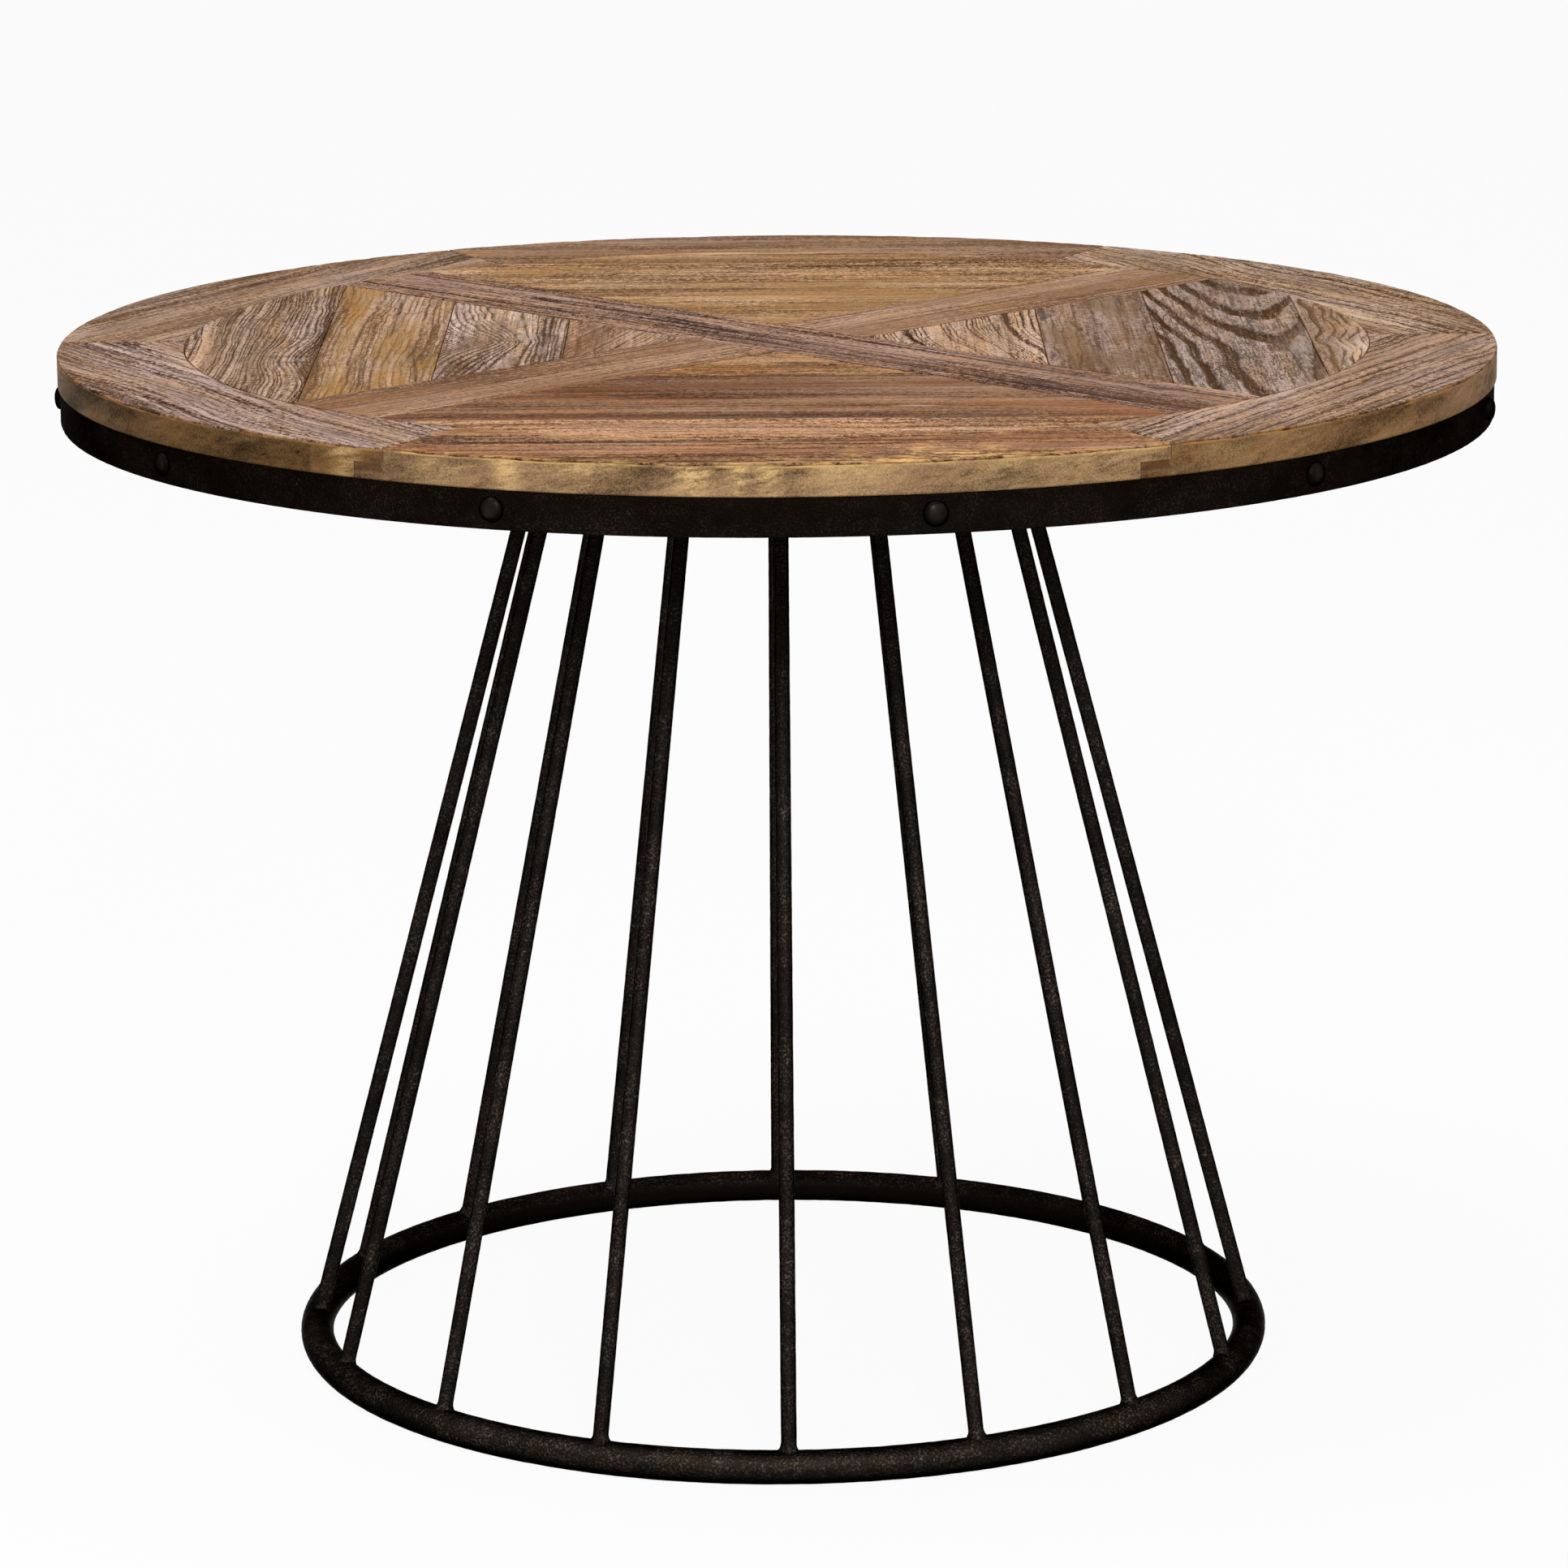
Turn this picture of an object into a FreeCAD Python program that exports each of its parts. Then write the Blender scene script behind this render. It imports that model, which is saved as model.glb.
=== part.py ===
import FreeCAD, Part
import math
import os

# Round dining table: a reclaimed wood top of border boards, crossed braces and planks,
# edged with a riveted steel band, on a cage of steel rods welded to a ring on the floor.
# Millimetres, +Z up. The origin is the centre of the base ring, on the floor.
# Angles are in degrees from +X towards +Y; the front of the table faces -Y.

# Overall sizes
TOP_DIAMETER = 1067.0
TABLE_HEIGHT = 775.0

# Wood top
WOOD_THICKNESS = 23.0
BORDER_WIDTH = 93.5
BORDER_COUNT = 6
BORDER_LAP = 24.0
BRACE_WIDTH = 92.0
BRACE_ANGLE = 45.0
BOARD_GAP = 0.5

# Joints between planks, as shares of the border's inner radius, counted from the centre
LEFT_JOINT_SHARES = (0.357, 0.564, 0.768)
RIGHT_JOINT_SHARES = (0.448, 0.643, 0.900)
NEAR_JOINT_SHARES = (0.391, 0.595, 0.811)
FAR_JOINT_SHARES = (0.466, 0.636, 0.830)

# Sub-top and steel band
SUB_TOP_THICKNESS = 25.0
BAND_THICKNESS = 4.0
BAND_LIP = 3.0
BAND_INSET = 1.5
BAND_FIT = 0.3

# Rivets through the band
RIVET_COUNT = 11
RIVET_PHASE = 281.5
RIVET_HEAD_DIAMETER = 18.0
RIVET_HEAD_HEIGHT = 4.8
RIVET_SHANK_DIAMETER = 5.0
RIVET_SHANK_LENGTH = 22.0
RIVET_FIT = 0.1

# Screws from below into the boards
TOP_SCREW_DIAMETER = 4.5
TOP_SCREW_HEAD_DIAMETER = 9.0
TOP_SCREW_HEAD_HEIGHT = 3.0
TOP_SCREW_BITE = 15.0
SCREW_FIT = 0.15
BORDER_SCREW_SHARES = (0.25, 0.75)
BRACE_SCREW_SHARES = (0.36, 0.78)
PLANK_SCREW_SHARE = 0.5

# Dowels between the half braces and the long brace
DOWEL_DIAMETER = 8.0
DOWEL_LENGTH = 40.0
DOWEL_SPACING = 44.0
DOWEL_FIT = 0.1

# Base of rods
ROD_COUNT = 16
ROD_PHASE = 270.6
ROD_DIAMETER = 11.5
ROD_TOP_DIAMETER = 341.0
BASE_RING_DIAMETER = 716.0
BASE_RING_BAR = 25.0
LOWER_WELD_WIDTH = 2.8
LOWER_WELD_HEIGHT = 7.0
UPPER_WELD_WIDTH = 2.4
UPPER_WELD_HEIGHT = 5.0
WELD_TOE = 0.6

# Plate that carries the top
PLATE_THICKNESS = 5.0
PLATE_RIM = 28.0
PLATE_SCREW_COUNT = 8
PLATE_SCREW_INSET = 32.0
PLATE_SCREW_DIAMETER = 6.0
PLATE_SCREW_HEAD_DIAMETER = 12.0
PLATE_SCREW_HEAD_HEIGHT = 4.0
PLATE_SCREW_BITE = 16.0

# How far a cutting shape runs past what it cuts
OVERRUN = 2.0

# Radii and levels worked out from the sizes above
TOP_RADIUS = TOP_DIAMETER / 2
INNER_RADIUS = TOP_RADIUS - BORDER_WIDTH
FIELD_RADIUS = INNER_RADIUS - BOARD_GAP
BAND_RADIUS = TOP_RADIUS - BAND_INSET
BAND_INNER_RADIUS = BAND_RADIUS - BAND_THICKNESS
SUB_TOP_RADIUS = BAND_INNER_RADIUS - BAND_FIT
BAND_HEIGHT = SUB_TOP_THICKNESS + BAND_LIP
ROD_TOP_RADIUS = ROD_TOP_DIAMETER / 2
PLATE_RADIUS = ROD_TOP_RADIUS + PLATE_RIM
PLATE_SCREW_RADIUS = ROD_TOP_RADIUS - PLATE_SCREW_INSET
BASE_RING_RADIUS = BASE_RING_DIAMETER / 2
BORDER_STEP = 360 / BORDER_COUNT

WOOD_Z = TABLE_HEIGHT - WOOD_THICKNESS
LAP_Z = TABLE_HEIGHT - WOOD_THICKNESS / 2
SUB_TOP_Z = WOOD_Z - SUB_TOP_THICKNESS
BAND_Z = WOOD_Z - BAND_HEIGHT
RIVET_Z = BAND_Z + BAND_HEIGHT / 2
PLATE_Z = SUB_TOP_Z - PLATE_THICKNESS

UP = FreeCAD.Vector(0, 0, 1)
ORIGIN = FreeCAD.Vector(0, 0, 0)

# Angles at which the four fields of planks open, half their opening, and their joints
FIELD_ANGLES = {"left": 180, "right": 0, "near": 270, "far": 90}
FIELD_HALF_ANGLES = {
    "left": BRACE_ANGLE,
    "right": BRACE_ANGLE,
    "near": 90 - BRACE_ANGLE,
    "far": 90 - BRACE_ANGLE,
}
FIELD_JOINT_SHARES = {
    "left": LEFT_JOINT_SHARES,
    "right": RIGHT_JOINT_SHARES,
    "near": NEAR_JOINT_SHARES,
    "far": FAR_JOINT_SHARES,
}
BORDER_NAMES = ("far_right", "far", "far_left", "near_left", "near", "near_right")


def polar(radius, angle, z):
    """Point at a radius and an angle, at a level."""
    turn = math.radians(angle)
    return FreeCAD.Vector(radius * math.cos(turn), radius * math.sin(turn), z)


def turned(shape, angle):
    """Copy of a shape, turned about the table's axis."""
    copy = shape.copy()
    copy.rotate(ORIGIN, UP, angle)
    return copy


def disc(radius, z, height):
    """Upright cylinder on the table's axis."""
    return Part.makeCylinder(radius, height, FreeCAD.Vector(0, 0, z), UP)


def upright(radius, x, y, z, height):
    """Upright cylinder standing at a point."""
    return Part.makeCylinder(radius, height, FreeCAD.Vector(x, y, z), UP)


def prism(edges, height):
    """Closed outline of edges in order, raised by a height."""
    face = Part.Face(Part.Wire(edges))
    return face.extrude(FreeCAD.Vector(0, 0, height))


# Border boards


def beside_mitre(radius, angle, offset, z):
    """Point on a circle, on the line that lies an offset anticlockwise of a mitre."""
    return polar(radius, angle + math.degrees(math.asin(offset / radius)), z)


def border_layer(start_offset, end_offset, z, height):
    """Half the thickness of the first border board, between its two mitres."""
    middle = BORDER_STEP / 2
    outer_start = beside_mitre(TOP_RADIUS, 0, start_offset, z)
    outer_end = beside_mitre(TOP_RADIUS, BORDER_STEP, end_offset, z)
    inner_end = beside_mitre(INNER_RADIUS, BORDER_STEP, end_offset, z)
    inner_start = beside_mitre(INNER_RADIUS, 0, start_offset, z)
    edges = [
        Part.Arc(outer_start, polar(TOP_RADIUS, middle, z), outer_end).toShape(),
        Part.LineSegment(outer_end, inner_end).toShape(),
        Part.Arc(inner_end, polar(INNER_RADIUS, middle, z), inner_start).toShape(),
        Part.LineSegment(inner_start, outer_start).toShape(),
    ]
    return prism(edges, height)


def border_board():
    """First border board: its lower half laps under the board before it."""
    half = WOOD_THICKNESS / 2
    play = BOARD_GAP / 2
    upper = border_layer(play, -play, LAP_Z, half)
    lower = border_layer(play - BORDER_LAP, -play - BORDER_LAP, WOOD_Z, half)
    return upper.fuse(lower).removeSplitter()


def border_screw_places(angle):
    """Places of the screws in the border board that starts at an angle."""
    radius = (TOP_RADIUS + INNER_RADIUS) / 2
    return [polar(radius, angle + share * BORDER_STEP, 0) for share in BORDER_SCREW_SHARES]


# Braces


def brace_board(start, angle):
    """Board along a diagonal from a distance to the border, with its end on the border's circle."""
    length = INNER_RADIUS - start
    corner = FreeCAD.Vector(start, -BRACE_WIDTH / 2, WOOD_Z)
    bar = Part.makeBox(length, BRACE_WIDTH, WOOD_THICKNESS, corner)
    return turned(bar.common(disc(FIELD_RADIUS, WOOD_Z, WOOD_THICKNESS)), angle)


def brace_dowel(radius, side, angle, clearance):
    """Dowel across the butt joint of a half brace, on one side of the brace's middle."""
    length = DOWEL_LENGTH + 2 * clearance
    middle = (BRACE_WIDTH + BOARD_GAP) / 2
    start = FreeCAD.Vector(middle - length / 2, side * DOWEL_SPACING / 2, LAP_Z)
    return turned(Part.makeCylinder(radius, length, start, FreeCAD.Vector(1, 0, 0)), angle)


def brace_dowels(angles, radius, clearance):
    """All dowels of the half braces that run along the given angles."""
    return [brace_dowel(radius, side, angle, clearance) for angle in angles for side in (-1, 1)]


def brace_screw_places(angle):
    """Places of the screws along a brace, outwards from the centre."""
    return [polar(share * INNER_RADIUS, angle, 0) for share in BRACE_SCREW_SHARES]


# Planks


def field_apex(half_angle):
    """Distance from the centre to the point of a field, where its two braces meet."""
    return (BRACE_WIDTH / 2 + BOARD_GAP) / math.sin(math.radians(half_angle))


def field_outline(half_angle):
    """Field that opens along +X: two sides along the braces and an arc along the border."""
    turn = math.radians(half_angle)
    apex = field_apex(half_angle)
    reach = math.sqrt(FIELD_RADIUS ** 2 - (apex * math.sin(turn)) ** 2) - apex * math.cos(turn)
    x = apex + reach * math.cos(turn)
    y = reach * math.sin(turn)
    tip = FreeCAD.Vector(apex, 0, WOOD_Z)
    left = FreeCAD.Vector(x, y, WOOD_Z)
    right = FreeCAD.Vector(x, -y, WOOD_Z)
    crown = FreeCAD.Vector(FIELD_RADIUS, 0, WOOD_Z)
    return [
        Part.LineSegment(tip, right).toShape(),
        Part.Arc(right, crown, left).toShape(),
        Part.LineSegment(left, tip).toShape(),
    ]


def plank_edges(half_angle, shares):
    """Distances of a field's plank joints from the centre, from its tip to the border."""
    return [field_apex(half_angle)] + [share * INNER_RADIUS for share in shares] + [INNER_RADIUS]


def plank(half_angle, low, high):
    """Plank across a field that opens along +X, between two joints."""
    field = prism(field_outline(half_angle), WOOD_THICKNESS)
    width = high - low - BOARD_GAP
    corner = FreeCAD.Vector(low + BOARD_GAP / 2, -INNER_RADIUS, WOOD_Z)
    return field.common(Part.makeBox(width, 2 * INNER_RADIUS, WOOD_THICKNESS, corner))


def plank_screw_places(half_angle, low, high, angle):
    """Places of the two screws on a plank's middle line, spread by its own length."""
    middle = (low + high) / 2
    along_brace = (middle - field_apex(half_angle)) * math.tan(math.radians(half_angle))
    along_border = math.sqrt(FIELD_RADIUS ** 2 - middle ** 2)
    spread = PLANK_SCREW_SHARE * min(along_brace, along_border)
    turn = math.radians(angle)
    return [
        FreeCAD.Vector(
            middle * math.cos(turn) - side * spread * math.sin(turn),
            middle * math.sin(turn) + side * spread * math.cos(turn),
            0,
        )
        for side in (-1, 1)
    ]


# Screws from below


def top_screw(place):
    """Wood screw with its head let into the sub-top and its tip in a board."""
    shank_z = SUB_TOP_Z + TOP_SCREW_HEAD_HEIGHT
    tip_z = WOOD_Z + TOP_SCREW_BITE
    head = upright(TOP_SCREW_HEAD_DIAMETER / 2, place.x, place.y, SUB_TOP_Z, TOP_SCREW_HEAD_HEIGHT)
    shank = upright(TOP_SCREW_DIAMETER / 2, place.x, place.y, shank_z, tip_z - shank_z)
    return head.fuse(shank)


def top_screw_hole(place):
    """Room for a screw's shank and head, through the sub-top and into a board."""
    bore = TOP_SCREW_DIAMETER / 2 + SCREW_FIT
    recess = TOP_SCREW_HEAD_DIAMETER / 2 + SCREW_FIT
    bore_height = WOOD_Z + TOP_SCREW_BITE + SCREW_FIT - SUB_TOP_Z
    recess_height = TOP_SCREW_HEAD_HEIGHT + OVERRUN
    shank = upright(bore, place.x, place.y, SUB_TOP_Z, bore_height)
    return shank.fuse(upright(recess, place.x, place.y, SUB_TOP_Z - OVERRUN, recess_height))


def plate_screw_places():
    """Places of the screws that hold the plate, midway between the braces."""
    step = 360 / PLATE_SCREW_COUNT
    return [polar(PLATE_SCREW_RADIUS, (index + 0.5) * step, 0) for index in range(PLATE_SCREW_COUNT)]


def plate_screw(place):
    """Wood screw with its head under the plate and its tip in the sub-top."""
    head_z = PLATE_Z - PLATE_SCREW_HEAD_HEIGHT
    length = PLATE_THICKNESS + PLATE_SCREW_BITE
    head = upright(PLATE_SCREW_HEAD_DIAMETER / 2, place.x, place.y, head_z, PLATE_SCREW_HEAD_HEIGHT)
    return head.fuse(upright(PLATE_SCREW_DIAMETER / 2, place.x, place.y, PLATE_Z, length))


def plate_screw_hole(place):
    """Room for a plate screw's shank, through the plate and into the sub-top."""
    length = OVERRUN + PLATE_THICKNESS + PLATE_SCREW_BITE + SCREW_FIT
    bore = PLATE_SCREW_DIAMETER / 2 + SCREW_FIT
    return upright(bore, place.x, place.y, PLATE_Z - OVERRUN, length)


# Steel band and rivets


def rivet_shank(radius, length):
    """Cylinder along +X that ends under the head of the first rivet."""
    start = FreeCAD.Vector(BAND_RADIUS - length, 0, RIVET_Z)
    return Part.makeCylinder(radius, length + OVERRUN, start, FreeCAD.Vector(1, 0, 0))


def rivet():
    """Domed rivet along +X, its head seated on the band's curved face."""
    base = RIVET_HEAD_DIAMETER / 2
    ball = (base ** 2 + RIVET_HEAD_HEIGHT ** 2) / (2 * RIVET_HEAD_HEIGHT)
    centre = FreeCAD.Vector(BAND_RADIUS + RIVET_HEAD_HEIGHT - ball, 0, RIVET_Z)
    dome = Part.makeSphere(ball, centre).cut(disc(BAND_RADIUS, BAND_Z - ball, BAND_HEIGHT + 2 * ball))
    shank = rivet_shank(RIVET_SHANK_DIAMETER / 2, RIVET_SHANK_LENGTH)
    reach = FreeCAD.Vector(BAND_RADIUS - RIVET_SHANK_LENGTH, -base, RIVET_Z - base)
    shank = shank.common(Part.makeBox(RIVET_SHANK_LENGTH + RIVET_HEAD_HEIGHT / 2, 2 * base, 2 * base, reach))
    return dome.fuse(shank)


def rivet_angles():
    """Angles at which the rivets stand round the band."""
    return [RIVET_PHASE + index * 360 / RIVET_COUNT for index in range(RIVET_COUNT)]


def rivet_holes():
    """Room for every rivet's shank, through the band and into the sub-top."""
    hole = rivet_shank(RIVET_SHANK_DIAMETER / 2 + RIVET_FIT, RIVET_SHANK_LENGTH + RIVET_FIT)
    return [turned(hole, angle) for angle in rivet_angles()]


def steel_band(holes):
    """Hoop of flat bar under the border, with holes for the rivets."""
    hoop = disc(BAND_RADIUS, BAND_Z, BAND_HEIGHT)
    hoop = hoop.cut(disc(BAND_INNER_RADIUS, BAND_Z - OVERRUN, BAND_HEIGHT + 2 * OVERRUN))
    return hoop.cut(holes)


# Base


def base_ring():
    """Ring of round bar that lies on the floor."""
    bar = BASE_RING_BAR / 2
    return Part.makeTorus(BASE_RING_RADIUS, bar, FreeCAD.Vector(0, 0, bar), UP)


def rod_line():
    """Start of the first rod's middle line, in the ring's bar, and its direction to the plate."""
    foot = FreeCAD.Vector(BASE_RING_RADIUS, 0, BASE_RING_BAR / 2)
    head = FreeCAD.Vector(ROD_TOP_RADIUS, 0, PLATE_Z)
    return foot, head.sub(foot)


def above_plate():
    """Block that fills the space from the plate's underside upwards, over the rods."""
    reach = PLATE_RADIUS + ROD_DIAMETER + UPPER_WELD_WIDTH
    return disc(reach, PLATE_Z, PLATE_THICKNESS + SUB_TOP_THICKNESS)


def whole_rod():
    """First rod along +X, longer than it needs to be at both ends."""
    foot, run = rod_line()
    unit = FreeCAD.Vector(run).normalize()
    return Part.makeCylinder(ROD_DIAMETER / 2, run.Length + ROD_DIAMETER, foot, unit)


def rod(ring):
    """First rod, coped to the ring's bar and cut level under the plate."""
    pieces = whole_rod().cut([ring, above_plate()]).Solids
    return max(pieces, key=lambda piece: piece.Volume)


def weld_collar(start, direction, width, height, cutters):
    """Cone of weld round a rod, wide where the rod meets steel, cut to fit round both."""
    root = ROD_DIAMETER / 2 + width
    toe = ROD_DIAMETER / 2 + WELD_TOE
    cone = Part.makeCone(root, toe, height, start, direction)
    return cone.cut(cutters)


def lower_weld(ring):
    """Weld collar between the first rod and the ring."""
    foot, run = rod_line()
    unit = FreeCAD.Vector(run).normalize()
    height = BASE_RING_BAR / 2 + LOWER_WELD_HEIGHT
    collar = weld_collar(foot, unit, LOWER_WELD_WIDTH, height, [ring, whole_rod()])
    return max(collar.Solids, key=lambda piece: piece.Volume)


def upper_weld():
    """Weld collar between the first rod and the plate."""
    foot, run = rod_line()
    down = FreeCAD.Vector(run).normalize().negative()
    start = foot.add(run).sub(FreeCAD.Vector(down).multiply(ROD_DIAMETER / 2))
    height = ROD_DIAMETER / 2 + UPPER_WELD_HEIGHT
    collar = weld_collar(start, down, UPPER_WELD_WIDTH, height, [above_plate(), whole_rod()])
    return max(collar.Solids, key=lambda piece: piece.Volume)


def around_rods(shape):
    """Copies of the first rod's shape at every rod's angle."""
    return [turned(shape, ROD_PHASE + index * 360 / ROD_COUNT) for index in range(ROD_COUNT)]


# Assembly


def wood_boards():
    """Every board of the top by name, with the places of its screws."""
    boards = {}
    first = border_board()
    for index, name in enumerate(BORDER_NAMES):
        angle = index * BORDER_STEP
        boards["border_" + name] = (turned(first, angle), border_screw_places(angle))

    through = -BRACE_ANGLE
    half_angles = {"far_right": BRACE_ANGLE, "near_left": BRACE_ANGLE + 180}
    places = brace_screw_places(through) + brace_screw_places(through + 180)
    holes = brace_dowels(half_angles.values(), DOWEL_DIAMETER / 2 + DOWEL_FIT, DOWEL_FIT)
    boards["brace_through"] = (brace_board(-INNER_RADIUS, through).cut(holes), places)
    for name, angle in half_angles.items():
        half_brace = brace_board(BRACE_WIDTH / 2 + BOARD_GAP, angle).cut(holes)
        boards["brace_" + name] = (half_brace, brace_screw_places(angle))

    for name, angle in FIELD_ANGLES.items():
        half_angle = FIELD_HALF_ANGLES[name]
        edges = plank_edges(half_angle, FIELD_JOINT_SHARES[name])
        for index in range(len(edges) - 1):
            low, high = edges[index], edges[index + 1]
            board = turned(plank(half_angle, low, high), angle)
            places = plank_screw_places(half_angle, low, high, angle)
            boards["%s_plank_%d" % (name, index + 1)] = (board, places)
    return boards


def table():
    """Every piece of the table by name, as a list of solids."""
    pieces = {}
    screws = []
    screw_holes = []
    for name, (board, places) in wood_boards().items():
        board_holes = [top_screw_hole(place) for place in places]
        pieces[name] = [board.cut(board_holes)]
        screws += [top_screw(place) for place in places]
        screw_holes += board_holes
    pieces["top_screws"] = screws
    pieces["brace_dowels"] = brace_dowels((BRACE_ANGLE, BRACE_ANGLE + 180), DOWEL_DIAMETER / 2, 0)

    shank_holes = rivet_holes()
    plate_holes = [plate_screw_hole(place) for place in plate_screw_places()]
    sub_top = disc(SUB_TOP_RADIUS, SUB_TOP_Z, SUB_TOP_THICKNESS)
    pieces["sub_top"] = [sub_top.cut(screw_holes + shank_holes + plate_holes)]
    pieces["steel_band"] = [steel_band(shank_holes)]
    pieces["band_rivets"] = [turned(rivet(), angle) for angle in rivet_angles()]

    plate = disc(PLATE_RADIUS, PLATE_Z, PLATE_THICKNESS)
    pieces["mounting_plate"] = [plate.cut(plate_holes)]
    pieces["mounting_screws"] = [plate_screw(place) for place in plate_screw_places()]

    ring = base_ring()
    pieces["base_ring"] = [ring]
    for index, shape in enumerate(around_rods(rod(ring))):
        pieces["rod_%02d" % (index + 1)] = [shape]
    pieces["upper_welds"] = around_rods(upper_weld())
    pieces["lower_welds"] = around_rods(lower_weld(ring))
    return pieces


os.makedirs("parts", exist_ok=True)
for node, solids in table().items():
    shape = solids[0] if len(solids) == 1 else Part.makeCompound(solids)
    shape.exportStep("parts/%s.step" % node)
    print(node, len(shape.Solids), shape.isValid(), round(shape.Volume))
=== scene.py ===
import math
from types import SimpleNamespace

import bpy
import numpy as np
from mathutils import Matrix, Vector


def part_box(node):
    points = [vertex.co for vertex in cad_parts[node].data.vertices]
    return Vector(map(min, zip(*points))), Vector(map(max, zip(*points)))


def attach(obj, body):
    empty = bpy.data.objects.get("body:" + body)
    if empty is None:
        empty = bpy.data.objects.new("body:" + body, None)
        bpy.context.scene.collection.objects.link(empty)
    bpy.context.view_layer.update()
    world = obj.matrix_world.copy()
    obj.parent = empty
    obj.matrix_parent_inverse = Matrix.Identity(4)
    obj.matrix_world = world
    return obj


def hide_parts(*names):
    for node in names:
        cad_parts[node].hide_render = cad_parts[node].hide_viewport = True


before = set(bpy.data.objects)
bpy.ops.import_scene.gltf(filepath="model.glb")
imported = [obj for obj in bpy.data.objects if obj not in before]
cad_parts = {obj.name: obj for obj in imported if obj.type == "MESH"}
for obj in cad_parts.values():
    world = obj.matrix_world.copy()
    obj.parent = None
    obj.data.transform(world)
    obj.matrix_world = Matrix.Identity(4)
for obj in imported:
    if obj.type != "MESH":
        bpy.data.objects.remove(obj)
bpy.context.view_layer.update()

# Round dining table: reclaimed boards over a riveted steel band, on a cage of rods. Metres, +Z up.
# The front of the table faces -Y. Boards are named as in the frame.

# Sizes read from the frame
TOP_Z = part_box("brace_through")[1].z
WOOD_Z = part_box("brace_through")[0].z
TOP_RADIUS = -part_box("border_near")[0].y
FIELD_RADIUS = -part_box("near_plank_4")[0].y
BAND_LOW, BAND_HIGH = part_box("steel_band")
RING_LOW, RING_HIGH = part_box("base_ring")
PLATE_LOW, PLATE_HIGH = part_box("mounting_plate")

# Sizes that the frame's boxes don't give
BOARD_GAP = 0.0005
BRACE_WIDTH = 0.092
BORDER_LAP = 0.024
SWEEP = math.radians(60)
BAND_THICKNESS = 0.004
ROD_RADIUS = 0.00575
ROD_TOP_RADIUS = 0.1705
ROD_COUNT = 16
ROD_PHASE = math.radians(270.6)
RIVET_COUNT = 11
RIVET_PHASE = math.radians(281.5)
RIVET_RADIUS = 0.009
RIVET_HEIGHT = 0.0048

WOOD_THICKNESS = TOP_Z - WOOD_Z
LAP_Z = TOP_Z - WOOD_THICKNESS / 2
LAP_SEAM = 0.0001
INNER_RADIUS = FIELD_RADIUS + BOARD_GAP
FIELD_APEX = (BRACE_WIDTH / 2 + BOARD_GAP) * math.sqrt(2)
BAND_RADIUS = BAND_HIGH.x
BAR_RADIUS = (RING_HIGH.z - RING_LOW.z) / 2
RING_RADIUS = RING_HIGH.x - BAR_RADIUS
PLATE_Z = PLATE_LOW.z

# Places of grid lines close to a board's edge, where it is worn round
EDGE_LINES = np.array([0, 0.0003, 0.0007, 0.0013, 0.0022, 0.0035])
EDGE_ROUND = 0.0008
RIM_ROUND = 0.0016

# The rim's upper grid line lies this far under the top, and two of a board's levels are below its lap
CORNER_DEPTH = 0.0045
LOWER_LEVELS = 2

# How much thinner the seams' dirt and painted shade, and the wear, are between two planks than at a plank's
# ends
SIDE_SHARE = 3.0

# Edges sharper than this are shown sharp
SHARP_ANGLE = math.radians(50)


# Noise and meshes


def ripple(along, across, wave_along, wave_across, seed, waves=16):
    """Smooth seeded noise of unit spread: a sum of sine waves, none shorter than the two given lengths."""
    draw = np.random.default_rng(seed)
    total = np.zeros_like(along)
    for _ in range(waves):
        push_along, push_across = draw.uniform(-1, 1, 2)
        turn = draw.uniform(0, math.tau)
        phase = push_along * along / wave_along + push_across * across / wave_across
        total += np.sin(math.tau * phase + turn)
    return total / math.sqrt(waves / 2)


def smooth(value, low, high):
    """Smooth step: 0 below low, 1 above high, and an S curve between."""
    share = np.clip((value - low) / (high - low), 0, 1)
    return share * share * (3 - 2 * share)


def circle(count):
    """Even angles once round."""
    return np.linspace(0, math.tau, count, endpoint=False)


def grid(first, second):
    """Two arrays over all pairs of places from two lists, the first list along their first direction."""
    return np.meshgrid(first, second, indexing="ij")


def build(name, points, quads, outlines=(), attributes=None, second_material=None):
    """Mesh object from an array of points, an array of quads and a few outlines, each one face."""
    mesh = bpy.data.meshes.new(name)
    corners = np.concatenate([quads.ravel(), *outlines]).astype(np.int32)
    counts = np.concatenate([np.full(len(quads), 4), [len(outline) for outline in outlines]])
    starts = (np.cumsum(counts) - counts).astype(np.int32)
    mesh.vertices.add(len(points))
    mesh.vertices.foreach_set("co", np.asarray(points, np.float32).ravel())
    mesh.loops.add(len(corners))
    mesh.loops.foreach_set("vertex_index", corners)
    mesh.polygons.add(len(counts))
    mesh.polygons.foreach_set("loop_start", starts)
    if second_material is not None:
        which = np.zeros(len(counts), np.int32)
        which[second_material] = 1
        mesh.polygons.foreach_set("material_index", which)
    mesh.update(calc_edges=True)
    mesh.polygons.foreach_set("use_smooth", np.ones(len(counts), bool))
    mesh.set_sharp_from_angle(angle=SHARP_ANGLE)
    for key, values in (attributes or {}).items():
        kind = "FLOAT" if values.ndim == 1 else "FLOAT_VECTOR"
        layer = mesh.attributes.new(key, kind, "POINT")
        field = "value" if values.ndim == 1 else "vector"
        layer.data.foreach_set(field, np.asarray(values, np.float32).ravel())
    piece = bpy.data.objects.new(name, mesh)
    bpy.context.scene.collection.objects.link(piece)
    return piece


def dress(piece, slot, nodes, *materials):
    """Gives a piece its materials, on the one body, and hides the CAD nodes that it stands for. Its slot is
    not used.
    """
    for material in materials:
        piece.data.materials.append(material)
    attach(piece, "root")
    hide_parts(*nodes)


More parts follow.
